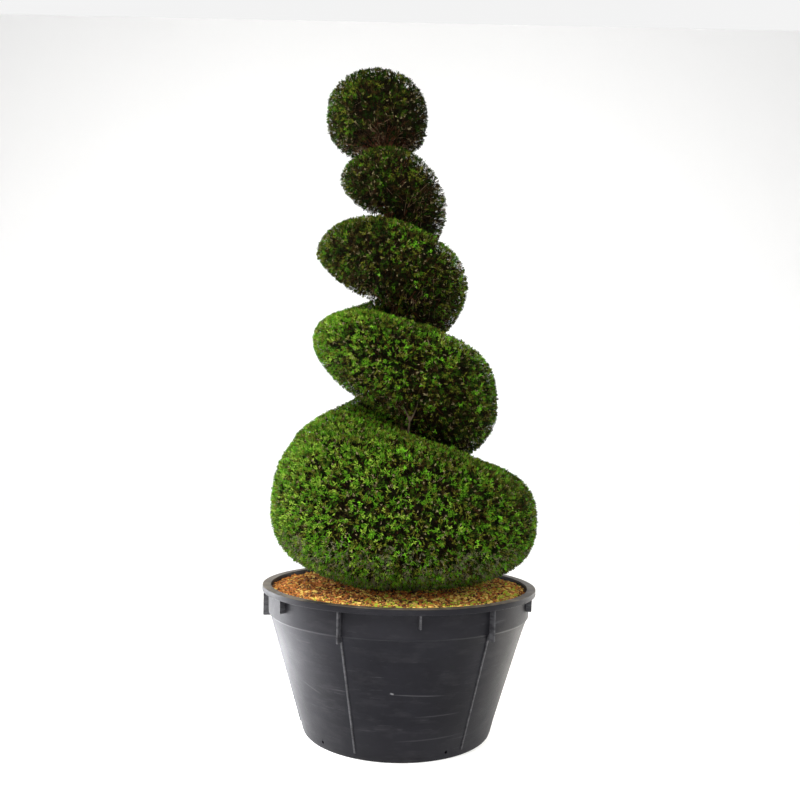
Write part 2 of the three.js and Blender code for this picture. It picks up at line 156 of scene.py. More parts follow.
def shapePiece(name, shape):
    # turns a bmesh into a mesh piece and frees it
    mesh = bpy.data.meshes.new(name)
    shape.to_mesh(mesh)
    shape.free()
    return addObject(name, mesh)


def loftFaces(start, sides, rings):
    # the faces of a closed solid whose rings of points follow one another
    faces = []
    for k in range(rings - 1):
        for i in range(sides):
            j = (i + 1) % sides
            a = start + k * sides
            faces.append((a + i, a + j, a + sides + j, a + sides + i))
    faces.append(tuple(range(start + sides - 1, start - 1, -1)))
    last = start + (rings - 1) * sides
    faces.append(tuple(range(last, last + sides)))
    return faces


def finishPiece(piece, nodes, materials=()):
    for material in materials:
        piece.data.materials.append(material)
    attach(piece, "root")
    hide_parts(*nodes)


def markSharp(mesh, degrees):
    # smooth shading that stays crisp over the steeper edges
    shape = bmesh.new()
    shape.from_mesh(mesh)
    for face in shape.faces:
        face.smooth = True
    for edge in shape.edges:
        edge.smooth = len(edge.link_faces) == 2 and edge.calc_face_angle(0) < radians(degrees)
    shape.to_mesh(mesh)
    shape.free()


def bakedCopy(source, name):
    # the evaluated object as a plain mesh piece
    depsgraph = bpy.context.evaluated_depsgraph_get()
    mesh = bpy.data.meshes.new_from_object(source.evaluated_get(depsgraph))
    mesh.name = name
    return addObject(name, mesh)


# camera, floor and light

camera = {
    "place": (-0.013, -3.05, 1.09),
    "pitch": 5.86,
    "roll": 1.21,
    "lens": 30.5,
}

studio = {
    "halfWidth": 9.0,
    "front": -6.0,
    "bend": 3.6,
    "bendRadius": 1.8,
    "bendSteps": 16,
    "height": 7.0,
    "colour": (0.78, 0.78, 0.78),
    "glow": 0.30,
    "worldBehind": (1.0, 1.0, 1.0),
    "worldBefore": (0.22, 0.22, 0.22),
    "worldStrength": 0.9,
}

lamps = [
    # name, place, target, size, power, colour
    ("keyLamp", (-2.2, -3.4, 5.2), (0, 0, 1.6), 2.2, 330, (1.0, 0.98, 0.94)),
    ("fillLamp", (2.6, -4.0, 4.2), (0, 0, 1.2), 2.6, 90, (0.96, 0.98, 1.0)),
    ("frontPanel", (-0.4, -4.6, 1.5), (0, 0, 0.6), 2.4, 60, (1.0, 0.99, 0.96)),
    ("leftPanel", (-2.9, 1.1, 1.0), (0, 0, 0.2), 2.0, 170, (0.97, 0.98, 1.0)),
    ("rightPanel", (3.2, 2.2, 1.0), (0, 0, 0.3), 1.6, 80, (1.0, 0.96, 0.88)),
    ("leftWash", (-1.38, 0.14, 0.5), (-1.38, 0.14, 0), 1.1, 58, (0.96, 0.96, 1.0)),
    ("rightWash", (1.35, 0.45, 0.5), (1.35, 0.45, 0), 1.1, 20, (1.0, 0.95, 0.84)),
]


def placeCamera():
    pitch = radians(camera["pitch"])
    roll = radians(camera["roll"])
    right = Vector((1, 0, 0))
    up = Vector((0, -sin(pitch), cos(pitch)))
    ahead = Vector((0, cos(pitch), sin(pitch)))
    cameraX = right * cos(roll) + up * sin(roll)
    cameraY = up * cos(roll) - right * sin(roll)
    turn = Matrix((cameraX, cameraY, -ahead)).transposed()
    data = bpy.data.cameras.new("camera")
    data.lens = camera["lens"]
    scene.camera = addObject("camera", data)
    scene.camera.matrix_world = Matrix.Translation(camera["place"]) @ turn.to_4x4()


def makeStudio():
    # a pale floor that sweeps up behind the plant
    radius = studio["bendRadius"]
    steps = studio["bendSteps"]
    profile = [(studio["front"], 0.0), (studio["bend"], 0.0)]
    for k in range(1, steps + 1):
        turn = radians(90 * k / steps)
        profile.append((studio["bend"] + radius * sin(turn), radius * (1 - cos(turn))))
    profile.append((studio["bend"] + radius, studio["height"]))
    points = [(side * studio["halfWidth"], y, z) for y, z in profile for side in (-1, 1)]
    faces = [(2 * k, 2 * k + 1, 2 * k + 3, 2 * k + 2) for k in range(len(profile) - 1)]
    sweep = meshPiece("studioSweep", points, faces, smooth=True)
    sweep.data.materials.append(makeMaterial("studioPaper", 0.1, lambda graph: {
        "Base Color": (*studio["colour"], 1), "Roughness": 0.9,
        "Emission Color": (1, 1, 1, 1), "Emission Strength": studio["glow"]}))


def makeWorld():
    # darker in front of the plant than behind it
    world = bpy.data.worlds.new("studioWorld")
    world.use_nodes = True
    sky = Graph(world.node_tree)
    behind = sky.part(sky.node("ShaderNodeTexCoord", {}, {}), 1)
    sky.feed(world.node_tree.nodes["Background"], {
        "Color": sky.blend(sky.clamp(behind, -0.75, 0.1), studio["worldBefore"], studio["worldBehind"]),
        "Strength": studio["worldStrength"]})
    scene.world = world


def placeLamps():
    for name, place, target, size, power, colour in lamps:
        data = bpy.data.lights.new(name, "AREA")
        data.shape = "SQUARE"
        data.size = size
        data.energy = power
        data.color = colour
        lamp = addObject(name, data)
        lamp.location = place
        lamp.visible_camera = False
        lamp.rotation_euler = (Vector(target) - Vector(place)).to_track_quat("-Z", "Y").to_euler()


placeCamera()
makeStudio()
makeWorld()
placeLamps()
print("camera and studio set")


# tub

tub = {
    "height": 0.597,
    "rimRadius": 0.589,
    "rimWidth": 0.036,
    "skirtHeight": 0.022,
    "plate": 0.006,
    "wall": 0.010,
    "collarHeight": 0.084,
    "collarLean": 0.004,
    "step": 0.007,
    "footRadius": 0.402,
    "footEdge": 0.010,
    "segments": 240,
    "corner": 0.0028,
    "longestStretch": 0.03,
    "panelSink": 0.0030,
    "warp": 0.0022,
}

ribs = {
    "count": 12,
    "firstAngle": -22.35,
    "thickness": 0.008,
    "shortHeight": 0.044,
    "longHeight": 0.108,
    "ridgeWidth": 0.009,
    "ridgeProud": 0.004,
    "ridgeFoot": 0.014,
    "ridgeSunk": 0.006,
    "sunk": 0.004,
    "lean": 0.003,
    "top": 0.002,
    "corner": 0.0016,
}

drains = {
    "count": 5,
    "firstAngle": -44.4,
    "height": 0.029,
    "radius": 0.006,
}

collarTop = tub["height"] - tub["plate"]
collarFoot = collarTop - tub["skirtHeight"] - tub["collarHeight"]
collarTopRadius = tub["rimRadius"] - tub["rimWidth"] + tub["wall"]
collarFootRadius = collarTopRadius - tub["collarLean"]
bodyTopRadius = collarFootRadius - tub["step"]


def onCircle(angle, radius):
    # angles about the tub start at the front and run to its right
    return radius * sin(angle), -radius * cos(angle)


def wallLine(offset):
    return [
        (tub["footRadius"] + offset, tub["footEdge"]),
        (bodyTopRadius + offset, collarFoot - tub["step"]),
        (collarFootRadius + offset, collarFoot),
        (collarTopRadius + offset, collarTop),
    ]


def wallRadiusAt(height):
    line = wallLine(0)
    return float(np.interp(height, [z for _, z in line], [r for r, _ in line]))


def softCorners(profile, radius, steps=4):
    # rounds each corner of an open outline of (radius, height) points
    rounded = [profile[0]]
    for before, corner, after in zip(profile, profile[1:], profile[2:]):
        corner = Vector(corner)
        back = Vector(before) - corner
        ahead = Vector(after) - corner
        reach = min(radius, 0.4 * back.length, 0.4 * ahead.length)
        start = corner + back.normalized() * reach
        end = corner + ahead.normalized() * reach
        for k in range(steps + 1):
            share = k / steps
            rounded.append(tuple(start.lerp(corner, share).lerp(corner.lerp(end, share), share)))
    rounded.append(profile[-1])
    return rounded


def subdivided(profile, longest):
    # adds points so that no stretch is longer than a limit
    points = [profile[0]]
    for start, end in zip(profile, profile[1:]):
        count = max(1, ceil((Vector(end) - Vector(start)).length / longest))
        points += [tuple(Vector(start).lerp(Vector(end), (k + 1) / count)) for k in range(count)]
    return points


def tubSkinOffset(angle, height):
    # flat panels between the ridges and a slow hand-worn warp
    long = ribs["count"] // 2
    middle = radians(ribs["firstAngle"] + 180 / long)
    panel = 0.5 + 0.5 * cos(long * (angle - middle))
    body = max(0.0, min(1.0, (collarFoot - 0.01 - height) / 0.05)) * min(1.0, height / 0.06)
    wave = noise.noise(Vector((2.2 * cos(angle), 2.2 * sin(angle), 4 * height)))
    return -tub["panelSink"] * panel * body + tub["warp"] * wave * min(1.0, height / 0.08)


def makeTubShell():
    skirtFoot = tub["height"] - tub["skirtHeight"]
    skirtInside = tub["rimRadius"] - tub["plate"]
    rim = tub["rimRadius"]
    outline = [
        (0.0, 0.0),
        (tub["footRadius"] - tub["footEdge"] / 2, 0.0),
        *wallLine(0),
        (skirtInside, collarTop),
        (skirtInside, skirtFoot),
        (rim, skirtFoot),
        (rim, tub["height"]),
        (rim - tub["rimWidth"], tub["height"]),
        *reversed(wallLine(-tub["wall"])[1:3]),
        (tub["footRadius"] - tub["wall"], tub["wall"]),
        (0.0, tub["wall"]),
    ]
    profile = subdivided(softCorners(outline, tub["corner"]), tub["longestStretch"])
    count = tub["segments"]
    points = [(0, 0, profile[0][1])]
    for radius, height in profile[1:-1]:
        for i in range(count):
            angle = 2 * pi * i / count
            offset = tubSkinOffset(angle, height) if radius > 0.75 * tub["footRadius"] else 0
            points.append((*onCircle(angle, radius + offset), height))
    points.append((0, 0, profile[-1][1]))
    faces = []
    last = len(points) - 1
    rings = len(profile) - 2
    for i in range(count):
        j = (i + 1) % count
        faces.append((0, 1 + j, 1 + i))
        top = 1 + (rings - 1) * count
        faces.append((last, top + i, top + j))
        for k in range(rings - 1):
            a = 1 + k * count
            faces.append((a + i, a + j, a + count + j, a + count + i))
    return meshPiece("tubShell", points, faces)


def addPlate(shape, outline, thickness, angle):
    # a plate in the plane of the tub's axis, with softened edges
    outward = Vector((*onCircle(radians(angle), 1), 0))
    side = Vector((-outward.y, outward.x, 0))
    rows = [[shape.verts.new(outward * r + side * (thickness * across) + Vector((0, 0, z)))
             for r, z in outline] for across in (-0.5, 0.5)]
    faces = [shape.faces.new(rows[0]), shape.faces.new(rows[1][::-1])]
    count = len(outline)
    for i in range(count):
        j = (i + 1) % count
        faces.append(shape.faces.new((rows[0][j], rows[0][i], rows[1][i], rows[1][j])))
    bmesh.ops.recalc_face_normals(shape, faces=faces)
    edges = list({edge for face in faces for edge in face.edges})
    bmesh.ops.bevel(shape, geom=edges, offset=ribs["corner"], segments=2, affect="EDGES")


def makeTubRibs():
    shape = bmesh.new()
    edge = tub["rimRadius"] - tub["plate"] / 2
    for k in range(ribs["count"]):
        angle = ribs["firstAngle"] + 360 * k / ribs["count"]
        isLong = k % 2 == 0
        height = ribs["longHeight"] if isLong else ribs["shortHeight"]
        foot = collarTop - tub["skirtHeight"] - height
        inner = [(r - ribs["sunk"], z) for r, z in wallLine(0) if z > foot]
        addPlate(shape, [
            (wallRadiusAt(foot) - ribs["sunk"], foot),
            (edge - ribs["lean"], foot),
            (edge, collarTop + ribs["top"]),
            *reversed(inner),
        ], ribs["thickness"], angle)
        if isLong:
            low = tub["footEdge"] + ribs["ridgeFoot"]
            high = collarFoot - tub["step"]
            addPlate(shape, [
                (wallRadiusAt(low) - ribs["ridgeSunk"], low),
                (wallRadiusAt(low) + ribs["ridgeProud"], low),
                (wallRadiusAt(high) + ribs["ridgeProud"], high),
                (wallRadiusAt(high) - ribs["ridgeSunk"], high),
            ], ribs["ridgeWidth"], angle)
    return shapePiece("tubRibs", shape)


def boreDrains(piece):
    # drain holes through the wall, cut and applied
    cutters = bmesh.new()
    for k in range(drains["count"]):
        turn = radians(drains["firstAngle"] + 360 * k / drains["count"])
        outward = Vector((*onCircle(turn, 1), 0))
        centre = outward * wallRadiusAt(drains["height"]) + Vector((0, 0, drains["height"]))
        matrix = Matrix.Translation(centre) @ outward.to_track_quat("Z", "Y").to_matrix().to_4x4()
        bmesh.ops.create_cone(cutters, cap_ends=True, segments=20, radius1=drains["radius"],
                              radius2=drains["radius"], depth=0.05, matrix=matrix)
    cutter = shapePiece("drainCutters", cutters)
    modifier = piece.modifiers.new("drains", "BOOLEAN")
    modifier.object = cutter
    modifier.solver = "EXACT"
    bored = bakedCopy(piece, "tubWall")
    bpy.data.objects.remove(piece)
    bpy.data.objects.remove(cutter)
    return bored


scuffs = [
    # side, level, slope, length, width, strength: rubbed lines across the front
    (0.075, 0.268, -0.05, 0.110, 0.0022, 0.22),
    (0.150, 0.185, 0.02, 0.090, 0.0030, 0.09),
    (0.120, 0.092, 0.04, 0.140, 0.0034, 0.08),
    (-0.020, 0.276, -0.20, 0.008, 0.0040, 0.80),
    (-0.330, 0.250, -0.35, 0.045, 0.0034, 0.10),
]


def scuffed(graph, x, y, z, colour):
    # thin lines on the front of the wall, fading to their ends
    for side, level, slope, length, width, strength in scuffs:
        across = x - side
        off = graph.maths("ABSOLUTE", z - level - across * slope, 0.0)
        far = graph.maths("ABSOLUTE", across, 0.0)
        line = graph.clamp(off, width, width * 0.3) * graph.clamp(far, length, length * 0.4)
        colour = graph.blend(line * (y < 0.0) * strength, colour, (0.20, 0.20, 0.21))
    return colour


def tubSurface(graph):
    position = graph.position()
    x, y, height = [graph.part(position, axis) for axis in range(3)]
    mottle = graph.speckle(position, 7.0, 5.0)
    grime = graph.speckle(graph.stretched(position, (3.0, 3.0, 9.0)), 3.0, 6.0, 0.65)
    rubs = graph.speckle(graph.stretched(position, (1.6, 1.6, 60.0)), 2.4, 3.0)
    grain = graph.speckle(position, 420.0, 2.0)
    rubMask = graph.clamp(rubs, 0.62, 0.74) * graph.clamp(grime, 0.48, 0.62)
    # dust in the grime's patches and lighter towards the foot; everything above the collar's foot is also
    # painted lighter, a painted sheen standing in for the collar's brighter reflection
    dustAndSheen = graph.clamp(grime, 0.5, 0.74) * 0.7 + graph.clamp(height, 0.16, 0.0) * 0.45
    dustAndSheen = dustAndSheen + graph.clamp(height, collarFoot - 0.004, collarFoot + 0.004) * 0.45
    base = graph.blend(graph.clamp(mottle, 0.3, 0.7), (0.0014, 0.0014, 0.0026), (0.0060, 0.0060, 0.0084))
    dustyAndSheened = graph.blend(dustAndSheen * 0.25, base, (0.050, 0.048, 0.052))
    wornAndSheened = scuffed(graph, x, y, height, graph.blend(rubMask * 0.45, dustyAndSheened, (0.085, 0.085, 0.092)))
    # the rim's top painted warm and lighter: soil dust on it, and a painted highlight where its top catches
    # the light
    rimTop = graph.clamp(height, tub["height"] - 0.0012, tub["height"] - 0.0004)
    soilAndToplight = graph.clamp(grime, 0.35, 0.6) * rimTop
    return {
        "Specular Tint": (0.90, 0.90, 1.0, 1),
        "Base Color": graph.blend(soilAndToplight * 0.9, wornAndSheened, (0.135, 0.110, 0.080)),
        "Roughness": 0.36 + mottle * 0.24 + rubMask * 0.2,
        "Normal": graph.bump(grain * 0.2 + grime, 0.40, 0.0025),
    }


def ribSurface(graph):
    # the same plastic, worn lighter where things rub along the plates, and painted lighter as a highlight
    # for their lit edges
    wearAndSheen = graph.speckle(graph.stretched(graph.position(), (9.0, 9.0, 30.0)), 3.0, 4.0, 0.6)
    wornAndSheened = graph.clamp(wearAndSheen, 0.35, 0.65)
    return {
        "Base Color": graph.blend(wornAndSheened, (0.014, 0.014, 0.017), (0.060, 0.060, 0.066)),
        "Roughness": 0.45 + wearAndSheen * 0.15,
        "Normal": graph.bump(wearAndSheen, 0.2, 0.001),
    }


def makeTub():
    wall = boreDrains(makeTubShell())
    markSharp(wall.data, 32)
    plates = makeTubRibs()
    markSharp(plates.data, 40)
    finishPiece(wall, ["tub"], [makeMaterial("tubPlastic", 0.15, tubSurface)])
    finishPiece(plates, ["tub"], [makeMaterial("ribPlastic", 0.35, ribSurface)])


makeTub()
print("tub made")


# soil and mulch

soil = {
    "edgeHeight": 0.584,
    "middleHeight": 0.591,
    "middleRadius": 0.150,
    "rings": 70,
    "segments": 200,
    "roughness": 0.006,
    "crumbs": 0.002,
    "sunk": 0.004,
    "wallRoom": 0.0012,
    "bandLevels": [(0.02, 0.002), (0.25, 0.06)],
    "bandTop": 0.575,
    "foot": 0.31,
}

mulch = {
    "trunkRoom": 0.16,
    "wallRoom": 0.006,
    "dealt": {"Density": 9000.0, "Seed": 4, "Blotch Scale": 14.0, "Blotch Weight": 0.35,
              "Chance Weight": 0.95, "Lift": 1.0, "Tilt": 0.5, "Size From": 0.7, "Size To": 1.35},
    "chips": [
        # name, seed, length, width, thickness
        ("chipLong", 3, 0.024, 0.007, 0.003),
        ("chipBroad", 5, 0.017, 0.011, 0.004),
        ("chipSmall", 8, 0.009, 0.006, 0.003),
        ("chipCrumb", 9, 0.006, 0.005, 0.004),
    ],
    "tints": [
        # name, colour, share from, share to
        ("barkOrange", (0.50, 0.180, 0.040), -9.0, 0.36),
        ("barkBrown", (0.26, 0.100, 0.032), 0.36, 0.54),
        ("barkDark", (0.07, 0.030, 0.015), 0.54, 0.62),
        ("strawYellow", (0.78, 0.54, 0.13), 0.62, 0.84),
        ("mossGreen", (0.38, 0.46, 0.04), 0.84, 9.0),
    ],
}


def soilHeight(x, y):
    radius = hypot(x, y)
    rise = max(0.0, (radius - soil["middleRadius"]) / (collarTopRadius - soil["middleRadius"]))
    level = soil["middleHeight"] + (soil["edgeHeight"] - soil["middleHeight"]) * rise
    lumps = noise.fractal(Vector((9 * x, 9 * y, 3.0)), 1.0, 2.0, 4)
    crumbs = noise.noise(Vector((60 * x, 60 * y, 1.0)))
    return level - soil["sunk"] + soil["roughness"] * lumps + soil["crumbs"] * crumbs


def makeSoilBed():
    inside = wallRadiusAt(soil["edgeHeight"]) - tub["wall"] - soil["wallRoom"]
    count = soil["segments"]
    angles = [2 * pi * i / count for i in range(count)]
    points = [(0, 0, soilHeight(0, 0))]
    rings = soil["rings"]
    for k in range(1, rings + 1):
        for angle in angles:
            x, y = onCircle(angle, inside * k / rings)
            points.append((x, y, soilHeight(x, y)))
    for drop, narrower in soil["bandLevels"]:
        points += [(*onCircle(angle, inside - narrower), soil["bandTop"] - drop) for angle in angles]
    points.append((0, 0, soil["foot"]))
    faces = []
    for i in range(count):
        j = (i + 1) % count
        faces.append((0, 1 + i, 1 + j))
        for k in range(rings + 1):
            a = 1 + k * count
            faces.append((a + j, a + i, a + count + i, a + count + j))
        foot = 1 + (rings + 1) * count
        faces.append((len(points) - 1, foot + j, foot + i))
    return meshPiece("soilBed", points, faces, smooth=True)


def soilSurface(graph):
    position = graph.position()
    clumps = graph.speckle(position, 26.0, 6.0, 0.7)
    crumbs = graph.speckle(position, 160.0, 4.0, 0.7)
    colour = graph.ramp(clumps * 0.5 + crumbs * 0.5, [
        (0.30, (0.030, 0.016, 0.009)),
        (0.48, (0.100, 0.048, 0.020)),
        (0.60, (0.230, 0.115, 0.042)),
        (0.74, (0.380, 0.220, 0.085)),
    ])
    return {"Base Color": colour, "Roughness": 0.95, "Normal": graph.bump(crumbs + clumps, 0.8, 0.006)}


def chipShape(name, seed, length, width, thickness):
    # one torn chip of bark: a bent wedge of few faces
    rng = random.Random(seed)
    points = []
    for end in (-1, 1):
        for side in (-1, 1):
            for level in (0, 1):
                points.append((
                    end * length * rng.uniform(0.32, 0.55),
                    side * width * rng.uniform(0.25, 0.55),
                    (level - 0.4) * thickness * rng.uniform(0.6, 1.3) + 0.002 * end * rng.uniform(-1, 1)))
    faces = [(0, 1, 3, 2), (4, 6, 7, 5), (0, 4, 5, 1), (2, 3, 7, 6), (1, 5, 7, 3), (0, 2, 6, 4)]
    return meshPiece(name, points, faces)


# scatter tree, shared by the chips and the sprays

def openTree(name, inputs):
    # a geometry tree with named inputs; gives the graph and a function for its inputs
    tree = bpy.data.node_groups.new(name, "GeometryNodeTree")
    tree.interface.new_socket("Geometry", in_out="OUTPUT", socket_type="NodeSocketGeometry")
    for label, kind in inputs.items():
        tree.interface.new_socket(label, in_out="INPUT", socket_type=f"NodeSocket{kind}")
    graph = Graph(tree)
    entry = tree.nodes.new("NodeGroupInput")
    return graph, lambda label: Wire(graph, entry.outputs[label])


scatterInputs = {
    "Geometry": "Geometry", "Density": "Float", "Seed": "Int", "Material": "Material",
    **{f"{kind} {end}": "Float" for kind in ("Tone", "Size") for end in ("From", "To")},
    **{f"{kind} Weight": "Float" for kind in ("Blotch", "Tuft", "Chance")},
    **{f"{kind} Scale": "Float" for kind in ("Blotch", "Tuft", "Gap")},
    **{label: "Float" for label in ("Gap Share", "Depth", "Lift", "Tilt")},
}
anyTone = {"Tone From": -9.0, "Tone To": 9.0}


def scatterTree(name, shapes):
    # points dealt over a surface by its "cover", sorted into tints by its "tone", each with one shape
    graph, given = openTree(name, scatterInputs)

    def attribute(label):
        return graph.node("GeometryNodeInputNamedAttribute", {"data_type": "FLOAT"}, {"Name": label})

    def chosen(kind, low, high, salt):
        # a random value for each point; the sockets of its ends and its outcome go by their kind
        first, out = {"FLOAT_VECTOR": (0, 0), "FLOAT": (2, 1), "INT": (4, 2)}[kind]
        return graph.node("FunctionNodeRandomValue", {"data_type": kind}, {
            first: low, first + 1: high, "Seed": given("Seed") + salt}, out)

    dealt = graph.node("GeometryNodeDistributePointsOnFaces", {"distribute_method": "RANDOM"}, {
        "Mesh": given("Geometry"), "Density": attribute("cover") * given("Density"), "Seed": given("Seed")})
    normal = Wire(graph, dealt.socket.node.outputs["Normal"])
    position = graph.node("GeometryNodeInputPosition", {}, {})
    gaps = graph.speckle(position, given("Gap Scale"), 2.0) < given("Gap Share")
    points = graph.node("GeometryNodeDeleteGeometry", {"domain": "POINT"}, {
        "Geometry": dealt, "Selection": gaps})

    # the tone of each point: its place's own, with patches, tufts and chance
    blotch = graph.speckle(position, given("Blotch Scale"), 2.0)
    tuft = graph.speckle(position, given("Tuft Scale"), 1.0)
    chance = chosen("FLOAT", 0.0, 1.0, 5)
    patches = (blotch - 0.5) * given("Blotch Weight") + (tuft - 0.5) * given("Tuft Weight")
    change = patches + (chance - 0.5) * given("Chance Weight")
    toned = graph.node("GeometryNodeStoreNamedAttribute", {"data_type": "FLOAT", "domain": "POINT"}, {
        "Geometry": points, "Name": "shade", "Value": attribute("tone") + change})
    shade = attribute("shade")

    # the darker a point is for its place, the deeper it sits
    sunk = (graph.clamp(change, -0.40, 0.05) - 1.0) * given("Depth")
    offset = graph.node("ShaderNodeVectorMath", {"operation": "SCALE"}, {0: normal, "Scale": sunk})
    placed = graph.node("GeometryNodeSetPosition", {}, {"Geometry": toned, "Offset": offset})

    inside = (shade > given("Tone From")) * (shade < given("Tone To"))
    lifted = graph.node("ShaderNodeCombineXYZ", {}, {"Z": given("Lift")})
    outward = graph.node("ShaderNodeVectorMath", {"operation": "ADD"}, {0: normal, 1: lifted})
    upright = graph.node("FunctionNodeAlignRotationToVector", {"axis": "Z"}, {"Vector": outward})
    low = graph.node("ShaderNodeCombineXYZ", {}, {
        "X": given("Tilt") * -1.0, "Y": given("Tilt") * -1.0, "Z": 0.0})
    high = graph.node("ShaderNodeCombineXYZ", {}, {
        "X": given("Tilt"), "Y": given("Tilt"), "Z": 2 * pi})
    swing = graph.node("FunctionNodeEulerToRotation", {}, {0: chosen("FLOAT_VECTOR", low, high, 11)})
    rotation = graph.node("FunctionNodeRotateRotation", {"rotation_space": "LOCAL"}, {
        "Rotation": upright, "Rotate By": swing})
    size = chosen("FLOAT", given("Size From"), given("Size To"), 17)
    join = graph.tree.nodes.new("GeometryNodeJoinGeometry")
    for shape in shapes:
        info = graph.node("GeometryNodeObjectInfo", {}, {"Object": shape, "As Instance": True}, out=4)
        graph.tree.links.new(info.socket, join.inputs[0])
    pick = chosen("INT", 0, len(shapes) - 1, 23)
    instances = graph.node("GeometryNodeInstanceOnPoints", {}, {
        "Points": placed, "Selection": inside, "Instance": Wire(graph, join.outputs[0]),
        "Pick Instance": True, "Instance Index": pick, "Rotation": rotation, "Scale": size})
    bare = graph.node("GeometryNodeRemoveAttribute", {}, {"Geometry": instances, "Name": "shade"})
    real = graph.node("GeometryNodeRealizeInstances", {}, {"Geometry": bare})
    painted = graph.node("GeometryNodeSetMaterial", {}, {"Geometry": real, "Material": given("Material")})
    graph.feed(graph.tree.nodes.new("NodeGroupOutput"), {"Geometry": painted})
    return graph.tree


def scatter(name, surface, tree, values):
    # runs a scatter tree on a surface and gives the result as a plain mesh piece
    modifier = surface.modifiers.new("scatter", "NODES")
    modifier.node_group = tree
    identifiers = {item.name: item.identifier for item in tree.interface.items_tree
                   if item.in_out == "INPUT"}
    for label, value in values.items():
        modifier[identifiers[label]] = value
    piece = bakedCopy(surface, name)
    surface.modifiers.remove(modifier)
    return piece


def setAttribute(mesh, name, values):
    layer = mesh.attributes.new(name, "FLOAT", "POINT")
    layer.data.foreach_set("value", np.asarray(values, dtype=np.float32).ravel())


def makeSoil():
    bed = makeSoilBed()
    finishPiece(bed, ["soil"], [makeMaterial("pottingSoil", 0.25, soilSurface)])
    top = addObject("mulchBed", bed.data.copy())
    x, y, z = np.array([vertex.co for vertex in top.data.vertices]).T
    radii = np.hypot(x, y)
    # few chips by the trunk, none by the wall; more straw and moss to the front and the right, the front's
    # bright straw and moss being partly painted light for mulch in the bun's shade
    inner = np.clip((radii - mulch["trunkRoom"]) / 0.1, 0.15, 1)
    edge = wallRadiusAt(soil["edgeHeight"]) - tub["wall"] - mulch["wallRoom"]
    rimRoom = np.clip((edge - radii) / 0.01, 0, 1)
    # the front weighting is partly the mulch's own colour, partly painted light
    front = np.clip(-y - 0.25, 0, 0.3) / 0.3 * (1 - np.abs(x) / 0.6)
    setAttribute(top.data, "cover", np.where(z > 0.5, inner * rimRoom, 0))
    setAttribute(top.data, "tone", 0.42 + 0.36 * front + 0.12 * x / 0.5)
    shapes = [chipShape(*chip) for chip in mulch["chips"]]
    tree = scatterTree("mulchScatter", shapes)
    for name, colour, start, stop in mulch["tints"]:
        piece = scatter(f"mulch_{name}", top, tree, {
            **mulch["dealt"], "Tone From": start, "Tone To": stop,
            "Material": plainMaterial(name, colour, 0.9, 0.2)})
        finishPiece(piece, ["soil"])
    for shape in (*shapes, top):
        bpy.data.objects.remove(shape)


makeSoil()
print("soil and mulch made")


# the plant's frame: the same rule as the solids, in metres

trunk = {
    "foot": 0.5913,
    "footRadius": 0.034,
    "tipRadius": 0.007,
    "tipHeight": 2.572,
    "flare": 0.030,
    "flareHeight": 0.024,
    "lobes": 5,
    "lobeShare": 0.35,
    "leanStart": 1.2,
    "lean": 0.0755,
    "sides": 40,
    "rings": 420,
    "relief": 0.0035,
}

spiral = {
    "start": -0.25,
    "coilStart": 0.75,
    "end": 3.75,
    "groove": {"start": 1.155, "rise": 0.493, "riseLoss": 0.0214},
    "wobble": {"size": 0.0278, "stillTurn": 0.9, "phase": 0.039, "ripple": 0.0075, "ripplePhase": -0.0435},
    "reach": {"start": 0.572, "loss": 0.1605, "ease": 0.017,
              "swell": 0.064, "swellTurn": 2.54, "swellSpan": 0.454},
    "nose": {"share": 0.681, "loss": 0.0256, "swing": 0.056, "phase": 0.181},
    "topRoundness": {"low": 2.54, "high": 1.6, "changeTurn": 2.6, "changeSpan": 0.25},
    "bottomRoundness": {"high": 1.42, "extra": 3.2, "fadeTurns": 0.335},
    "taper": {"start": 3.45, "depth": 0.9},
    "merge": {"turns": 0.12, "reach": 0.060, "noseShare": 0.3, "roundness": 2.6},
    "grooveRoom": 0.002,
}

bun = {
    "reach": 0.5765,
    "reachSwing": 0.014,
    "noseHeight": 0.905,
    "noseSwing": -0.034,
    "bottom": 0.596,
    "topRoundness": 2.41,
    "bottomRoundness": 2.5,
    "masses": 3,
}

ball = {
    "x": -0.147,
    "radius": 0.236,
    "middle": 2.752,
    "up": 0.187,
    "down": 0.180,
    "underRoundness": 3.2,
    "room": 0.002,
}

coilMasses = 8

boughs = {
    "radius": 0.017,
    "rootShare": 0.7,
    "tipShare": 0.6,
    "standMin": 0.009,
    "standRange": 0.011,
    "innerShare": 0.18,
    "innerMin": 0.040,
    "tipShort": 0.014,
    "tipRise": 0.22,
    "rootDrop": {"share": 0.62, "more": 0.012},
    "bend": {"share": 0.55, "sag": 0.05},
    "steps": 16,
    "sides": 14,
    "relief": 0.0012,
}


def leanAt(z):
    return -trunk["lean"] * max(0.0, z - trunk["leanStart"])


def trunkRadius(z):
    left = (trunk["tipHeight"] - z) / (trunk["tipHeight"] - trunk["foot"])
    return trunk["tipRadius"] + (trunk["footRadius"] - trunk["tipRadius"]) * max(0.0, left) ** 0.85


def turned(turns):
    return sin(2 * pi * turns)


def grooveAt(t):
    groove = spiral["groove"]
    wobble = spiral["wobble"]
    climb = groove["start"] + groove["rise"] * t - groove["riseLoss"] * t * t
    tilt = wobble["size"] * (t - wobble["stillTurn"]) * turned(t + wobble["phase"])
    return climb + tilt + wobble["ripple"] * turned(2 * (t + wobble["ripplePhase"]))


def reachAt(t):
    # narrows as it climbs, swells once in its third turn, and draws in under the ball
    reach = spiral["reach"]
    taper = spiral["taper"]
    swell = reach["swell"] * exp(-((t - reach["swellTurn"]) / reach["swellSpan"]) ** 2)
    past = max(0.0, t - taper["start"]) / (spiral["end"] - taper["start"])
    whole = reach["start"] - reach["loss"] * t + reach["ease"] * t * t + swell
    return whole * sqrt(max(0.0, 1 - taper["depth"] * past * past))


def mergeAt(turnsOn):
    # behind the trunk the coil leaves the bun by a groove that starts shallow
    return exp(-max(0.0, turnsOn) / spiral["merge"]["turns"])


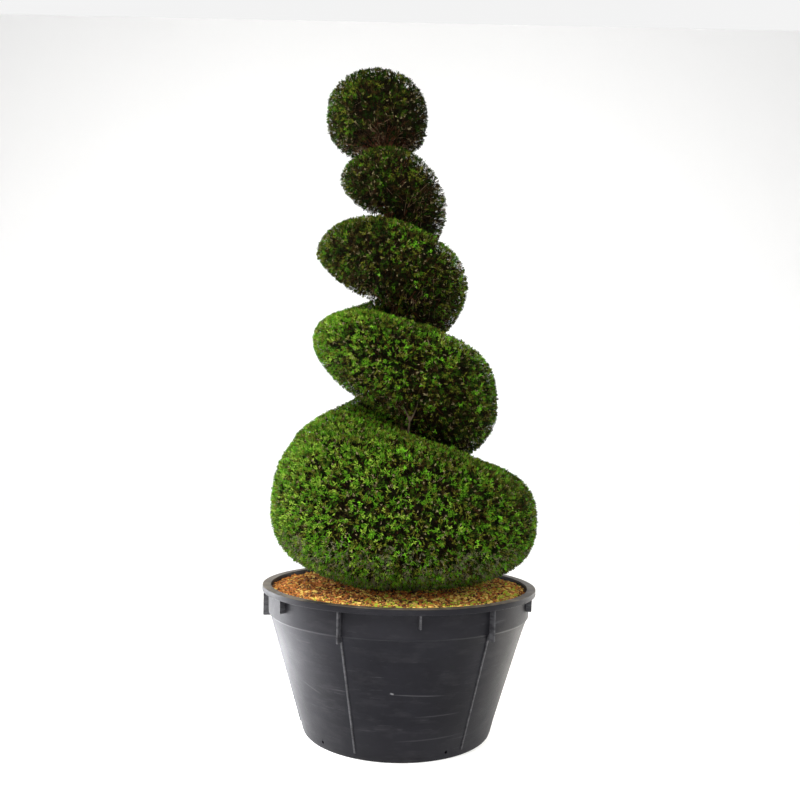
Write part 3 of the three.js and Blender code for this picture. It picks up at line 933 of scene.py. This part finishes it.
def sectionAt(t, isBun):
    merge = spiral["merge"]
    if isBun:
        side = cos(2 * pi * t)
        return {
            "reach": bun["reach"] + bun["reachSwing"] * side,
            "nose": bun["noseHeight"] + bun["noseSwing"] * side,
            "top": grooveAt(t) - spiral["grooveRoom"],
            "bottom": bun["bottom"],
            "topRoundness": bun["topRoundness"] + merge["roundness"] * mergeAt(t - spiral["start"]),
            "bottomRoundness": bun["bottomRoundness"],
        }
    nose = spiral["nose"]
    bottom = grooveAt(t - 1) + spiral["grooveRoom"]
    top = min(grooveAt(t) - spiral["grooveRoom"], ball["middle"] - ball["down"] - ball["room"])
    merged = mergeAt(t - spiral["coilStart"])
    noseShare = nose["share"] - nose["loss"] * t + nose["swing"] * turned(t + nose["phase"])
    noseShare -= merge["noseShare"] * merged
    over = spiral["topRoundness"]
    under = spiral["bottomRoundness"]
    change = 1 / (1 + exp((over["changeTurn"] - t) / over["changeSpan"]))
    fade = exp((spiral["coilStart"] - t) / under["fadeTurns"])
    return {
        "reach": reachAt(t) + merge["reach"] * merged,
        "nose": bottom + noseShare * (top - bottom),
        "top": top,
        "bottom": bottom,
        "topRoundness": over["low"] + (over["high"] - over["low"]) * change,
        "bottomRoundness": under["high"] + under["extra"] * fade,
    }


def standAt(section):
    return boughs["standMin"] + boughs["standRange"] * section["reach"] / bun["reach"]


def shrink(section, by):
    # a section drawn in on all sides, never past its own nose
    nose = section["nose"]
    return {
        **section,
        "reach": max(0.01, section["reach"] - by),
        "top": max(nose + 0.005, section["top"] - by),
        "bottom": min(nose - 0.005, section["bottom"] + by),
    }


def place(t, r, z):
    angle = pi / 2 - 2 * pi * t
    return Vector((leanAt(z) + r * sin(angle), -r * cos(angle), z))


def heightOn(section, r, above):
    n = section["topRoundness"] if above else section["bottomRoundness"]
    share = max(0.0, 1 - (r / section["reach"]) ** n) ** (1 / n)
    end = section["top"] if above else section["bottom"]
    return section["nose"] + (end - section["nose"]) * share


def skinPoint(t, isBun, around, inset):
    # around runs from -1 under the ribbon at the trunk, through 0 at its nose, to 1 over it
    section = shrink(sectionAt(t, isBun), inset)
    above = around >= 0
    n = section["topRoundness"] if above else section["bottomRoundness"]
    turn = abs(around) * pi / 2
    r = section["reach"] * cos(turn) ** (2 / n) if turn < pi / 2 else 0.0
    end = section["top"] if above else section["bottom"]
    z = section["nose"] + (end - section["nose"]) * sin(turn) ** (2 / n)
    return place(t, r, z)


def listMasses():
    masses = []
    for isBun, name, start, stop, count in (
            (True, "bun", spiral["start"], spiral["coilStart"], bun["masses"]),
            (False, "coil", spiral["coilStart"], spiral["end"], coilMasses)):
        turn = (stop - start) / count
        for k in range(count):
            masses.append({"name": f"{name}_{k + 1}", "isBun": isBun,
                           "from": start + k * turn, "to": start + (k + 1) * turn})
    return masses


masses = listMasses()
foliageNodes = [f"foliage_{mass['name']}" for mass in masses] + ["foliage_ball"]


# trunk and boughs with their bark

def barkRelief(along, angle, seed):
    # long flakes that wind a little round the limb
    plates = noise.fractal(Vector((2.4 * cos(angle), 2.4 * sin(angle), 7 * along + seed)),
                           1.0, 2.1, 4)
    cracks = abs(noise.noise(Vector((5 * cos(angle), 5 * sin(angle), 22 * along + seed))))
    return 0.7 * plates - 0.5 * (1 - cracks) ** 6


def loftLimb(points, faces, path, radii, sides, relief=0.0, seed=0.0):
    # adds one closed limb to shared lists of points and faces
    start = len(points)
    travelled = 0.0
    for k, centre in enumerate(path):
        before = path[max(k - 1, 0)]
        after = path[min(k + 1, len(path) - 1)]
        along = (after - before).normalized()
        side = Vector((0.13, 1, 0.02)).cross(along).normalized()
        up = along.cross(side)
        travelled += (centre - before).length
        for i in range(sides):
            angle = 2 * pi * i / sides
            rough = 1 + (relief / max(radii[k], 1e-4)) * barkRelief(travelled, angle, seed) if relief else 1
            radius = radii[k] * rough
            points.append(centre + side * (radius * cos(angle)) + up * (radius * sin(angle)))
    faces += loftFaces(start, sides, len(path))


def barkSurface(graph):
    position = graph.position()
    flakes = graph.speckle(graph.stretched(position, (60.0, 60.0, 14.0)), 1.0, 5.0, 0.65)
    patches = graph.speckle(position, 16.0, 3.0)
    colour = graph.ramp(flakes * 0.65 + patches * 0.35, [
        (0.30, (0.040, 0.022, 0.014)),
        (0.50, (0.120, 0.060, 0.036)),
        (0.66, (0.220, 0.120, 0.075)),
        (0.80, (0.330, 0.230, 0.165)),
    ])
    return {"Base Color": colour, "Roughness": 0.88, "Normal": graph.bump(flakes, 0.6, 0.003)}


def boughPath(mass):
    t = (mass["from"] + mass["to"]) / 2
    whole = sectionAt(t, mass["isBun"])
    section = shrink(whole, standAt(whole))
    inner = max(boughs["innerMin"], boughs["innerShare"] * section["reach"])
    low = heightOn(section, inner, False)
    tipHeight = low + boughs["tipRise"] * (heightOn(section, inner, True) - low)
    tip = place(t, inner - boughs["tipShort"], tipHeight)
    drop = boughs["rootDrop"]
    root = place(t, 0, tipHeight - drop["share"] * inner - drop["more"])
    bend = boughs["bend"]
    middle = root.lerp(tip, bend["share"]) + Vector((0, 0, -bend["sag"] * inner))
    return [root, middle, tip]


def curve(start, bend, end, steps):
    return [start.lerp(bend, k / steps).lerp(bend.lerp(end, k / steps), k / steps)
            for k in range(steps + 1)]


def makeTrunk(bark):
    points = []
    sides = trunk["sides"]
    span = trunk["tipHeight"] - trunk["foot"]
    for k in range(trunk["rings"] + 1):
        up = span * (k / trunk["rings"]) ** 1.25
        z = trunk["foot"] + up
        flare = trunk["flare"] * exp(-up / trunk["flareHeight"])
        for i in range(sides):
            angle = 2 * pi * i / sides
            root = 1 + trunk["lobeShare"] * cos(trunk["lobes"] * angle)
            r = trunkRadius(z) + flare * root
            r += min(trunk["relief"], 0.12 * r) * barkRelief(z, angle, 0.0)
            points.append((leanAt(z) + r * cos(angle), r * sin(angle), z))
    stem = meshPiece("trunkBark", points, loftFaces(0, sides, trunk["rings"] + 1), smooth=True)
    finishPiece(stem, ["trunk"], [bark])


def makeBoughs(bark):
    points = []
    faces = []
    steps = boughs["steps"]
    for index, mass in enumerate(masses):
        root, middle, tip = boughPath(mass)
        rootRadius = min(boughs["radius"], boughs["rootShare"] * trunkRadius(root.z))
        tipRadius = rootRadius * boughs["tipShare"]
        path = curve(root, 2 * middle - root.lerp(tip, 0.5), tip, steps)
        radii = [rootRadius + (tipRadius - rootRadius) * k / steps for k in range(steps + 1)]
        loftLimb(points, faces, path, radii, boughs["sides"], boughs["relief"], 3.0 * index)
    limbs = meshPiece("boughBark", points, faces, smooth=True)
    finishPiece(limbs, [f"bough_{mass['name']}" for mass in masses], [bark])


barkMaterial = makeMaterial("yewBark", 0.3, barkSurface)
makeTrunk(barkMaterial)
makeBoughs(barkMaterial)
print("trunk and boughs made")


# twigs that grow on from the boughs

twigs = {
    "limbsPerTurn": 34,
    "ballLimbs": 26,
    "sidePerLimb": 7,
    "finePerSide": 4,
    "limbRadius": 0.0060,
    "sideRadius": 0.0028,
    "fineRadius": 0.0015,
    "longestFine": 0.13,
    "limbInset": 0.035,
    "kink": 0.015,
    "colours": [
        ("twigRed", (0.100, 0.036, 0.018)),
        ("twigBrown", (0.052, 0.028, 0.014)),
        ("twigPale", (0.200, 0.135, 0.080)),
        ("twigGrey", (0.090, 0.066, 0.044)),
    ],
    "forked": [
        # root, bend, end, radius: the limb that shows over the bun
        ((0.010, -0.030, 1.150), (0.020, -0.200, 1.170), (0.030, -0.262, 1.310), 0.0068),
        ((0.029, -0.255, 1.290), (0.020, -0.265, 1.320), (-0.015, -0.262, 1.375), 0.0042),
        ((0.029, -0.255, 1.290), (0.050, -0.265, 1.320), (0.065, -0.262, 1.380), 0.0042),
    ],
}


def growLimb(rng, root, bend, t, around, surface, lists):
    # a limb out to the skin, side twigs from the limb and fine twigs from those
    end = surface(t, around, twigs["limbInset"])
    limb = curve(root, bend, end, 8)
    radii = [twigs["limbRadius"] * (1 - 0.75 * i / 8) for i in range(9)]
    loftLimb(*lists[0], limb, radii, 5)
    for side in range(twigs["sidePerLimb"]):
        base = limb[2 + side * 6 // twigs["sidePerLimb"]]
        aimT = t + rng.uniform(-0.05, 0.05)
        aimAround = max(-0.95, min(0.95, around + rng.uniform(-0.30, 0.30)))
        hidden = 0.006 if aimAround < -0.25 else 0.032
        tip = base.lerp(surface(aimT, aimAround, hidden + 0.010), rng.uniform(0.8, 1.0))
        kink = Vector((rng.uniform(-1, 1), rng.uniform(-1, 1), rng.uniform(-0.5, 1))) * twigs["kink"]
        twig = curve(base, base.lerp(tip, 0.5) + kink, tip, 4)
        radii = [twigs["sideRadius"] * (1 - 0.7 * i / 4) for i in range(5)]
        target = lists[side % 2]
        loftLimb(*target, twig, radii, 3)
        fineTarget = lists[2] if side % 3 == 0 else target
        for fine in range(twigs["finePerSide"]):
            start = twig[1 + fine % 3]
            aim = surface(aimT + rng.uniform(-0.04, 0.04),
                          max(-0.95, min(0.95, aimAround + rng.uniform(-0.2, 0.2))), hidden)
            stop = start.lerp(aim, rng.uniform(0.6, 1.0))
            if (stop - start).length > twigs["longestFine"]:
                stop = start + (stop - start).normalized() * twigs["longestFine"]
            radii = [twigs["fineRadius"], twigs["fineRadius"] * 0.7, twigs["fineRadius"] * 0.4]
            loftLimb(*fineTarget, curve(start, start.lerp(stop, 0.5), stop, 2), radii, 3)


def growMassTwigs(rng, mass, lists):
    # limbs leave the trunk low, run out along the underside and turn up into the mass
    def surface(t, around, inset):
        return skinPoint(min(mass["to"], max(mass["from"], t)), mass["isBun"], around, inset)

    span = mass["to"] - mass["from"]
    count = round(twigs["limbsPerTurn"] * span)
    for k in range(count):
        t = mass["from"] + span * (k + rng.random()) / count
        section = sectionAt(t, mass["isBun"])
        z = section["bottom"] + rng.uniform(0.01, 0.30) * (section["top"] - section["bottom"])
        root = place(t + rng.uniform(-0.05, 0.05), 0.5 * trunkRadius(z), z)
        around = rng.uniform(-0.5, 0.25) if k % 4 else rng.uniform(0.2, 0.7)
        bend = root.lerp(surface(t, min(-0.45, around - 0.25), 0.05), 0.75)
        growLimb(rng, root, bend, t, around, surface, lists)


def ballPoint(t, around, inset):
    # a point on the ball; t counts turns round it, around runs from its foot to its crown
    turn = around * pi / 2
    angle = 2 * pi * t
    n = 2.0 if turn > 0 else ball["underRoundness"]
    wide = (ball["radius"] - inset) * max(0.0, cos(turn)) ** (2 / n)
    tall = (ball["up"] if turn > 0 else ball["down"]) - inset
    rise = copysign(abs(sin(turn)) ** (2 / n), turn) * tall
    return Vector((ball["x"] + wide * cos(angle), wide * sin(angle), ball["middle"] + rise))


def makeTwigs():
    rng = random.Random(19)
    lists = [([], []) for _ in twigs["colours"]]
    for mass in masses:
        growMassTwigs(rng, mass, lists)
    foot = Vector((leanAt(trunk["tipHeight"]), 0, trunk["tipHeight"] - 0.01))
    for k in range(twigs["ballLimbs"]):
        around = rng.uniform(-0.75, 0.35)
        turn = (k + rng.random()) / twigs["ballLimbs"]
        bend = foot.lerp(ballPoint(turn, min(-0.5, around), 0.06), 0.5)
        growLimb(rng, foot, bend, turn, around, ballPoint, lists)
    for root, bend, end, radius in twigs["forked"]:
        path = curve(Vector(root), Vector(bend), Vector(end), 10)
        loftLimb(*lists[-1], path, [radius * (1 - 0.05 * k) for k in range(11)], 7)
    for (points, faces), (name, colour) in zip(lists, twigs["colours"]):
        piece = meshPiece(name, points, faces, smooth=True)
        finishPiece(piece, foliageNodes, [plainMaterial(f"{name}Bark", colour, 0.8, 0.06)])


makeTwigs()
print("twigs made")


# needle sprays

sprayShapes = {
    "count": 10,
    "length": 0.012,
    "needles": 5,
    "needleLength": 0.0145,
    "needleWidth": 0.0042,
    "stemWidth": 0.0016,
    "stemFoot": -0.010,
    "fold": 0.0006,
    "tipDip": 0.0012,
}

foliage = {
    "inset": 0.010,
    "innerInset": 0.052,
    "edge": 0.93,
    "unevenness": 0.008,
    "columnsPerTurn": 60,
    "rows": 28,
    "closing": {"columns": 4, "inset": 0.03, "from": -0.04, "to": 0.34},
    "ballColumns": 40,
    "ballRows": 24,
    "specular": 0.04,
    "halfway": 2.25,
    "skin": {"Density": 13500.0, "Blotch Weight": 0.70, "Tuft Weight": 1.05, "Gap Scale": 40.0,
             "Gap Share": 0.42, "Depth": 0.040, "Lift": 0.2, "Tilt": 0.8},
    "chanceWeight": {"bun": 1.22, "coilLow": 1.14, "coilHigh": 0.84, "ball": 0.80},
    "tints": [
        # name, colour, roughness, tone from, tone to, size from, size to
        ("yewShade", (0.009, 0.006, 0.002), 0.70, -9.0, 0.20, 0.85, 1.2),
        ("yewDeep", (0.006, 0.018, 0.001), 0.65, 0.20, 0.34, 0.85, 1.2),
        ("yewBrown", (0.034, 0.024, 0.005), 0.65, 0.34, 0.46, 0.85, 1.2),
        ("yewGreen", (0.026, 0.063, 0.003), 0.60, 0.46, 0.61, 0.85, 1.2),
        ("yewOlive", (0.116, 0.132, 0.014), 0.60, 0.61, 0.75, 0.85, 1.2),
        ("yewFresh", (0.085, 0.232, 0.010), 0.60, 0.75, 0.98, 0.9, 1.25),
        ("yewTip", (0.270, 0.430, 0.045), 0.60, 0.98, 9.0, 0.9, 1.25),
    ],
    "strays": [
        # name, colour, roughness, density, depth
        ("yewRust", (0.055, 0.022, 0.009), 0.70, 1200.0, 0.008),
        ("yewStraw", (0.380, 0.320, 0.170), 0.70, 700.0, 0.000),
    ],
    "stray": {**anyTone, "Lift": 0.2, "Tilt": 0.9, "Size From": 0.45, "Size To": 0.75},
    "shoots": ("yewShoot", (0.190, 0.540, 0.025), 0.70),
    "shoot": {**anyTone, "Density": 9000.0, "Gap Scale": 30.0, "Lift": 0.4, "Tilt": 0.6,
              "Size From": 0.8, "Size To": 1.1},
    "shootGaps": {"bun": 0.68, "coilLow": 0.68, "coilHigh": 0.75, "ball": 0.74},
    "within": {**anyTone, "Density": 2000.0, "Lift": 0.1, "Tilt": 1.1, "Size From": 1.5, "Size To": 2.3},
    # grey sprays for the bun's low skirt: its grey twigs and dead needles, and painted light for the bounce
    # up from the mulch
    "greyedAndLitBelow": ("yewGrey", (0.135, 0.130, 0.075), 0.65),
    "skirt": {**anyTone, "Density": 3200.0, "Seed": 70, "Blotch Scale": 9.0, "Gap Scale": 22.0,
              "Gap Share": 0.46, "Lift": 0.2, "Tilt": 0.8, "Size From": 0.8, "Size To": 1.15},
    "skirtTop": -0.15,
}


def sprayShape(index):
    # a cut shoot tip: a flat stem and a few needles, each a narrow leaf folded along its midrib
    rng = random.Random(100 + index)
    points = []
    faces = []
    length = sprayShapes["length"] * rng.uniform(0.8, 1.2)
    ranked = index % 2 == 0
    for k in range(sprayShapes["needles"]):
        share = (k + 0.5) / sprayShapes["needles"]
        base = Vector((0, 0, length * (0.1 + 0.9 * share)))
        turn = (k % 2) * pi + rng.uniform(-0.4, 0.4) if ranked else 2.4 * k + rng.uniform(-0.3, 0.3)
        lean = radians(rng.uniform(40, 75) * (1.05 - 0.75 * share ** 3))
        along = Vector((sin(lean) * cos(turn), sin(lean) * sin(turn), cos(lean)))
        side = along.cross(Vector((0, 0, 1))).normalized()
        fold = along.cross(side)
        reach = sprayShapes["needleLength"] * rng.uniform(0.75, 1.15) * (1 - 0.3 * share)
        half = sprayShapes["needleWidth"] * 0.5
        start = len(points)
        middle = base + along * (0.45 * reach)
        raised = fold * sprayShapes["fold"]
        tip = base + along * reach - fold * sprayShapes["tipDip"]
        points += [base, middle + side * half + raised, tip, middle - side * half + raised]
        faces += [(start, start + 1, start + 2), (start, start + 2, start + 3)]
    start = len(points)
    half = sprayShapes["stemWidth"] * 0.5
    foot = sprayShapes["stemFoot"]
    points += [Vector((-half, 0, foot)), Vector((half, 0, foot)), Vector((0, sprayShapes["fold"], length))]
    faces.append((start, start + 1, start + 2))
    return meshPiece(f"spray_{index}", points, faces)


def gridSurface(name, columns, rows, at, coverAt, toneAt):
    # a grid of points from a rule, with its cover and tone
    points = []
    covers = []
    tones = []
    for i in range(columns + 1):
        for j in range(rows + 1):
            u, v = i / columns, j / rows
            points.append(at(u, v))
            covers.append(coverAt(u, v))
            tones.append(toneAt(u, v, points[-1]))
    faces = []
    for i in range(columns):
        for j in range(rows):
            a = i * (rows + 1) + j
            faces.append((a, a + 1, a + rows + 2, a + rows + 1))
    piece = meshPiece(name, points, faces)
    setAttribute(piece.data, "cover", covers)
    setAttribute(piece.data, "tone", tones)
    return piece


def uneven(point):
    return foliage["unevenness"] * noise.fractal(point * 7.0, 1.0, 2.0, 3)


def glow(point, centre, radius):
    # 1 at a place on the plant, fading to 0 round it
    return exp(-((point - Vector(centre)).length / radius) ** 2)


def toneAt(point, around, over, under):
    # brighter over than under, to the left and low down, with fresh growth in two places; much of this is
    # painted light and shade from the way the light falls
    # painted light over the tops and painted shade under them
    light = over * max(0.0, around) - under * max(0.0, -around)
    # painted light from the left
    side = -0.10 * max(-0.6, min(0.6, point.x)) / 0.6
    # darker higher up: partly more bare brown inside showing, partly painted shade of undersides seen from
    # below
    height = -0.205 * max(0.0, (point.z - 1.0) / 1.9)
    fresh = 0.16 * glow(point, (-0.34, -0.20, 1.72), 0.20) + 0.10 * glow(point, (-0.30, -0.35, 1.15), 0.35)
    return 0.364 + light + side + height + fresh


def ribbonSurface(start, stop, isBun, inset, highest=foliage["edge"]):
    # the last columns of the bun turn in and close its end where the coil leaves it
    edge = foliage["edge"]
    closing = foliage["closing"]
    turning = max(8, int(foliage["columnsPerTurn"] * (stop - start)))
    columns = turning + (closing["columns"] if isBun else 0)

    def at(u, v):
        t = start + (stop - start) * min(1.0, u * columns / turning)
        around = -edge + (edge + highest) * v
        sunk = inset + closing["inset"] * max(0.0, u * columns - turning)
        rough = skinPoint(t, isBun, around, sunk)
        return skinPoint(t, isBun, around, max(0.0, sunk + uneven(rough)))

    def cover(u, v):
        around = -edge + (edge + highest) * v
        if u * columns > turning + 0.5:
            return 1.0 if closing["from"] < around < closing["to"] else 0.0
        if isBun:
            return 1.0 if around > -0.7 else 0.75
        closed = 8.0 * (1.08 - start - (stop - start) * u)
        return max(0.22, min(1.0, max(1.55 + 1.5 * around, closed)))

    def tone(u, v, point):
        around = -edge + (edge + highest) * v
        # painted shade under the bun and under each coil tier, and painted light over the coil; the bun is
        # darker over it
        return toneAt(point, around, -0.06, 0.04) - 0.01 if isBun else toneAt(point, around, 0.08, 0.24)

    return gridSurface("skin", columns, foliage["rows"], at, cover, tone)


def ballSurface(inset):
    def at(u, v):
        rough = ballPoint(-u, -1 + 2 * v, inset)
        return ballPoint(-u, -1 + 2 * v, max(0.0, inset + 0.003 + uneven(rough)))

    def cover(u, v):
        return max(0.20, min(1.0, 3.2 * v + 0.1))

    def tone(u, v, point):
        # painted light over the ball and painted shade under it
        return toneAt(point, -1 + 2 * v, 0.06, 0.22) - 0.02 - 0.30 * (point.x - ball["x"])

    return gridSurface("skin", foliage["ballColumns"], foliage["ballRows"], at, cover, tone)


def keepSprays(piece, nodes):
    # finishes a piece and counts its faces; a tint that a region has no sprays of leaves no piece
    faces = len(piece.data.polygons)
    if faces:
        finishPiece(piece, nodes)
    else:
        bpy.data.objects.remove(piece)
    return faces


def makeSprays():
    shapes = [sprayShape(k) for k in range(sprayShapes["count"])]
    tree = scatterTree("sprayScatter", shapes)
    low, middle, high = spiral["coilStart"], foliage["halfway"], spiral["end"]
    regions = [
        # name, surface for an inset, its share of the foliage nodes
        ("bun", lambda inset: ribbonSurface(spiral["start"], low, True, inset), foliageNodes[:-9]),
        ("coilLow", lambda inset: ribbonSurface(low, middle, False, inset), foliageNodes[-9:-5]),
        ("coilHigh", lambda inset: ribbonSurface(middle, high, False, inset), foliageNodes[-5:-1]),
        ("ball", ballSurface, foliageNodes[-1:]),
    ]
    named = (*foliage["tints"], *foliage["strays"], foliage["shoots"])
    materials = {name: plainMaterial(name, colour, roughness, foliage["specular"])
                 for name, colour, roughness, *_ in named}
    total = 0
    for index, (region, surfaceAt, nodes) in enumerate(regions):
        outer = surfaceAt(foliage["inset"])
        inner = surfaceAt(foliage["innerInset"])
        jobs = []
        for tint, _, _, start, stop, small, large in foliage["tints"]:
            jobs.append((tint, tint, outer, {
                **foliage["skin"], "Seed": 40 + index, "Chance Weight": foliage["chanceWeight"][region],
                "Tone From": start, "Tone To": stop, "Size From": small, "Size To": large}))
        for stray, _, _, density, depth in foliage["strays"]:
            jobs.append((stray, stray, outer, {
                **foliage["stray"], "Seed": 50 + index, "Density": density, "Depth": depth}))
        jobs.append(("yewShoot", "yewShoot", outer, {
            **foliage["shoot"], "Seed": 80 + index, "Gap Share": foliage["shootGaps"][region]}))
        jobs.append(("within", "yewShade", inner, {**foliage["within"], "Seed": 60 + index}))
        for name, material, surface, inputs in jobs:
            piece = scatter(f"sprays_{region}_{name}", surface, tree, {
                "Blotch Scale": 13.0, "Tuft Scale": 42.0, "Material": materials[material], **inputs})
            total += keepSprays(piece, nodes)
        for surface in (outer, inner):
            bpy.data.objects.remove(surface)
    # the bun's low skirt is dealt grey sprays, partly its own grey and partly painted light from below
    skirt = ribbonSurface(spiral["start"], low, True, foliage["inset"], foliage["skirtTop"])
    grey = plainMaterial(*foliage["greyedAndLitBelow"], foliage["specular"])
    piece = scatter("sprays_bun_yewGrey", skirt, tree, {**foliage["skirt"], "Material": grey})
    total += keepSprays(piece, regions[0][2])
    for shape in (*shapes, skirt):
        bpy.data.objects.remove(shape)
    print("sprays made, faces:", total)


makeSprays()


# dark heart of each dense mass: a sheet painted near-black as painted shade for the inside, brown in places
# for its twigs and dead needles

heart = {
    "inset": 0.057,
    "lowestOpen": -0.72,
    "stepsPerTurn": 48,
    "ringPoints": 15,
    "ballPoints": 24,
    "roughness": 1.2,
    # mostly painted shade
    "colour": (0.012, 0.010, 0.005),
}


def heartSurface(graph):
    thatchInShade = graph.speckle(graph.position(), 55.0, 5.0, 0.7)
    # near-black painted shade to the brown of twigs and dead needles
    colour = graph.ramp(thatchInShade, [
        (0.35, (0.004, 0.004, 0.002)),
        (0.52, heart["colour"]),
        (0.70, (0.040, 0.026, 0.014)),
    ])
    return {"Base Color": colour, "Roughness": 0.95, "Normal": graph.bump(thatchInShade, 1.0, 0.02)}


def ringSolid(points, faces, rings):
    faces += loftFaces(len(points), len(rings[0]), len(rings))
    for ring in rings:
        points += ring


def makeHearts():
    points = []
    faces = []
    edge = foliage["edge"]
    for isBun, start, stop in ((True, -0.25, 0.75), (False, 0.75, 3.72)):
        rings = []
        steps = int(heart["stepsPerTurn"] * (stop - start))
        for k in range(steps + 1):
            t = start + (stop - start) * k / steps
            lowest = -edge if isBun or t < 1.0 else heart["lowestOpen"]
            ring = []
            for i in range(heart["ringPoints"]):
                around = lowest + (edge - lowest) * i / (heart["ringPoints"] - 1)
                rough = heart["roughness"] * uneven(skinPoint(t, isBun, around, heart["inset"]) * 2.5)
                ring.append(skinPoint(t, isBun, around, heart["inset"] + rough))
            rings.append(ring)
        ringSolid(points, faces, rings)
    rings = []
    for k in range(1, 12):
        around = -0.45 + 1.4 * k / 12
        sides = heart["ballPoints"]
        rings.append([ballPoint(i / sides, around, heart["inset"]) for i in range(sides)])
    ringSolid(points, faces, rings)
    piece = meshPiece("foliageHeart", points, faces, smooth=True)
    finishPiece(piece, foliageNodes, [makeMaterial("yewHeart", 0.1, heartSurface)])


makeHearts()
print("hearts made")
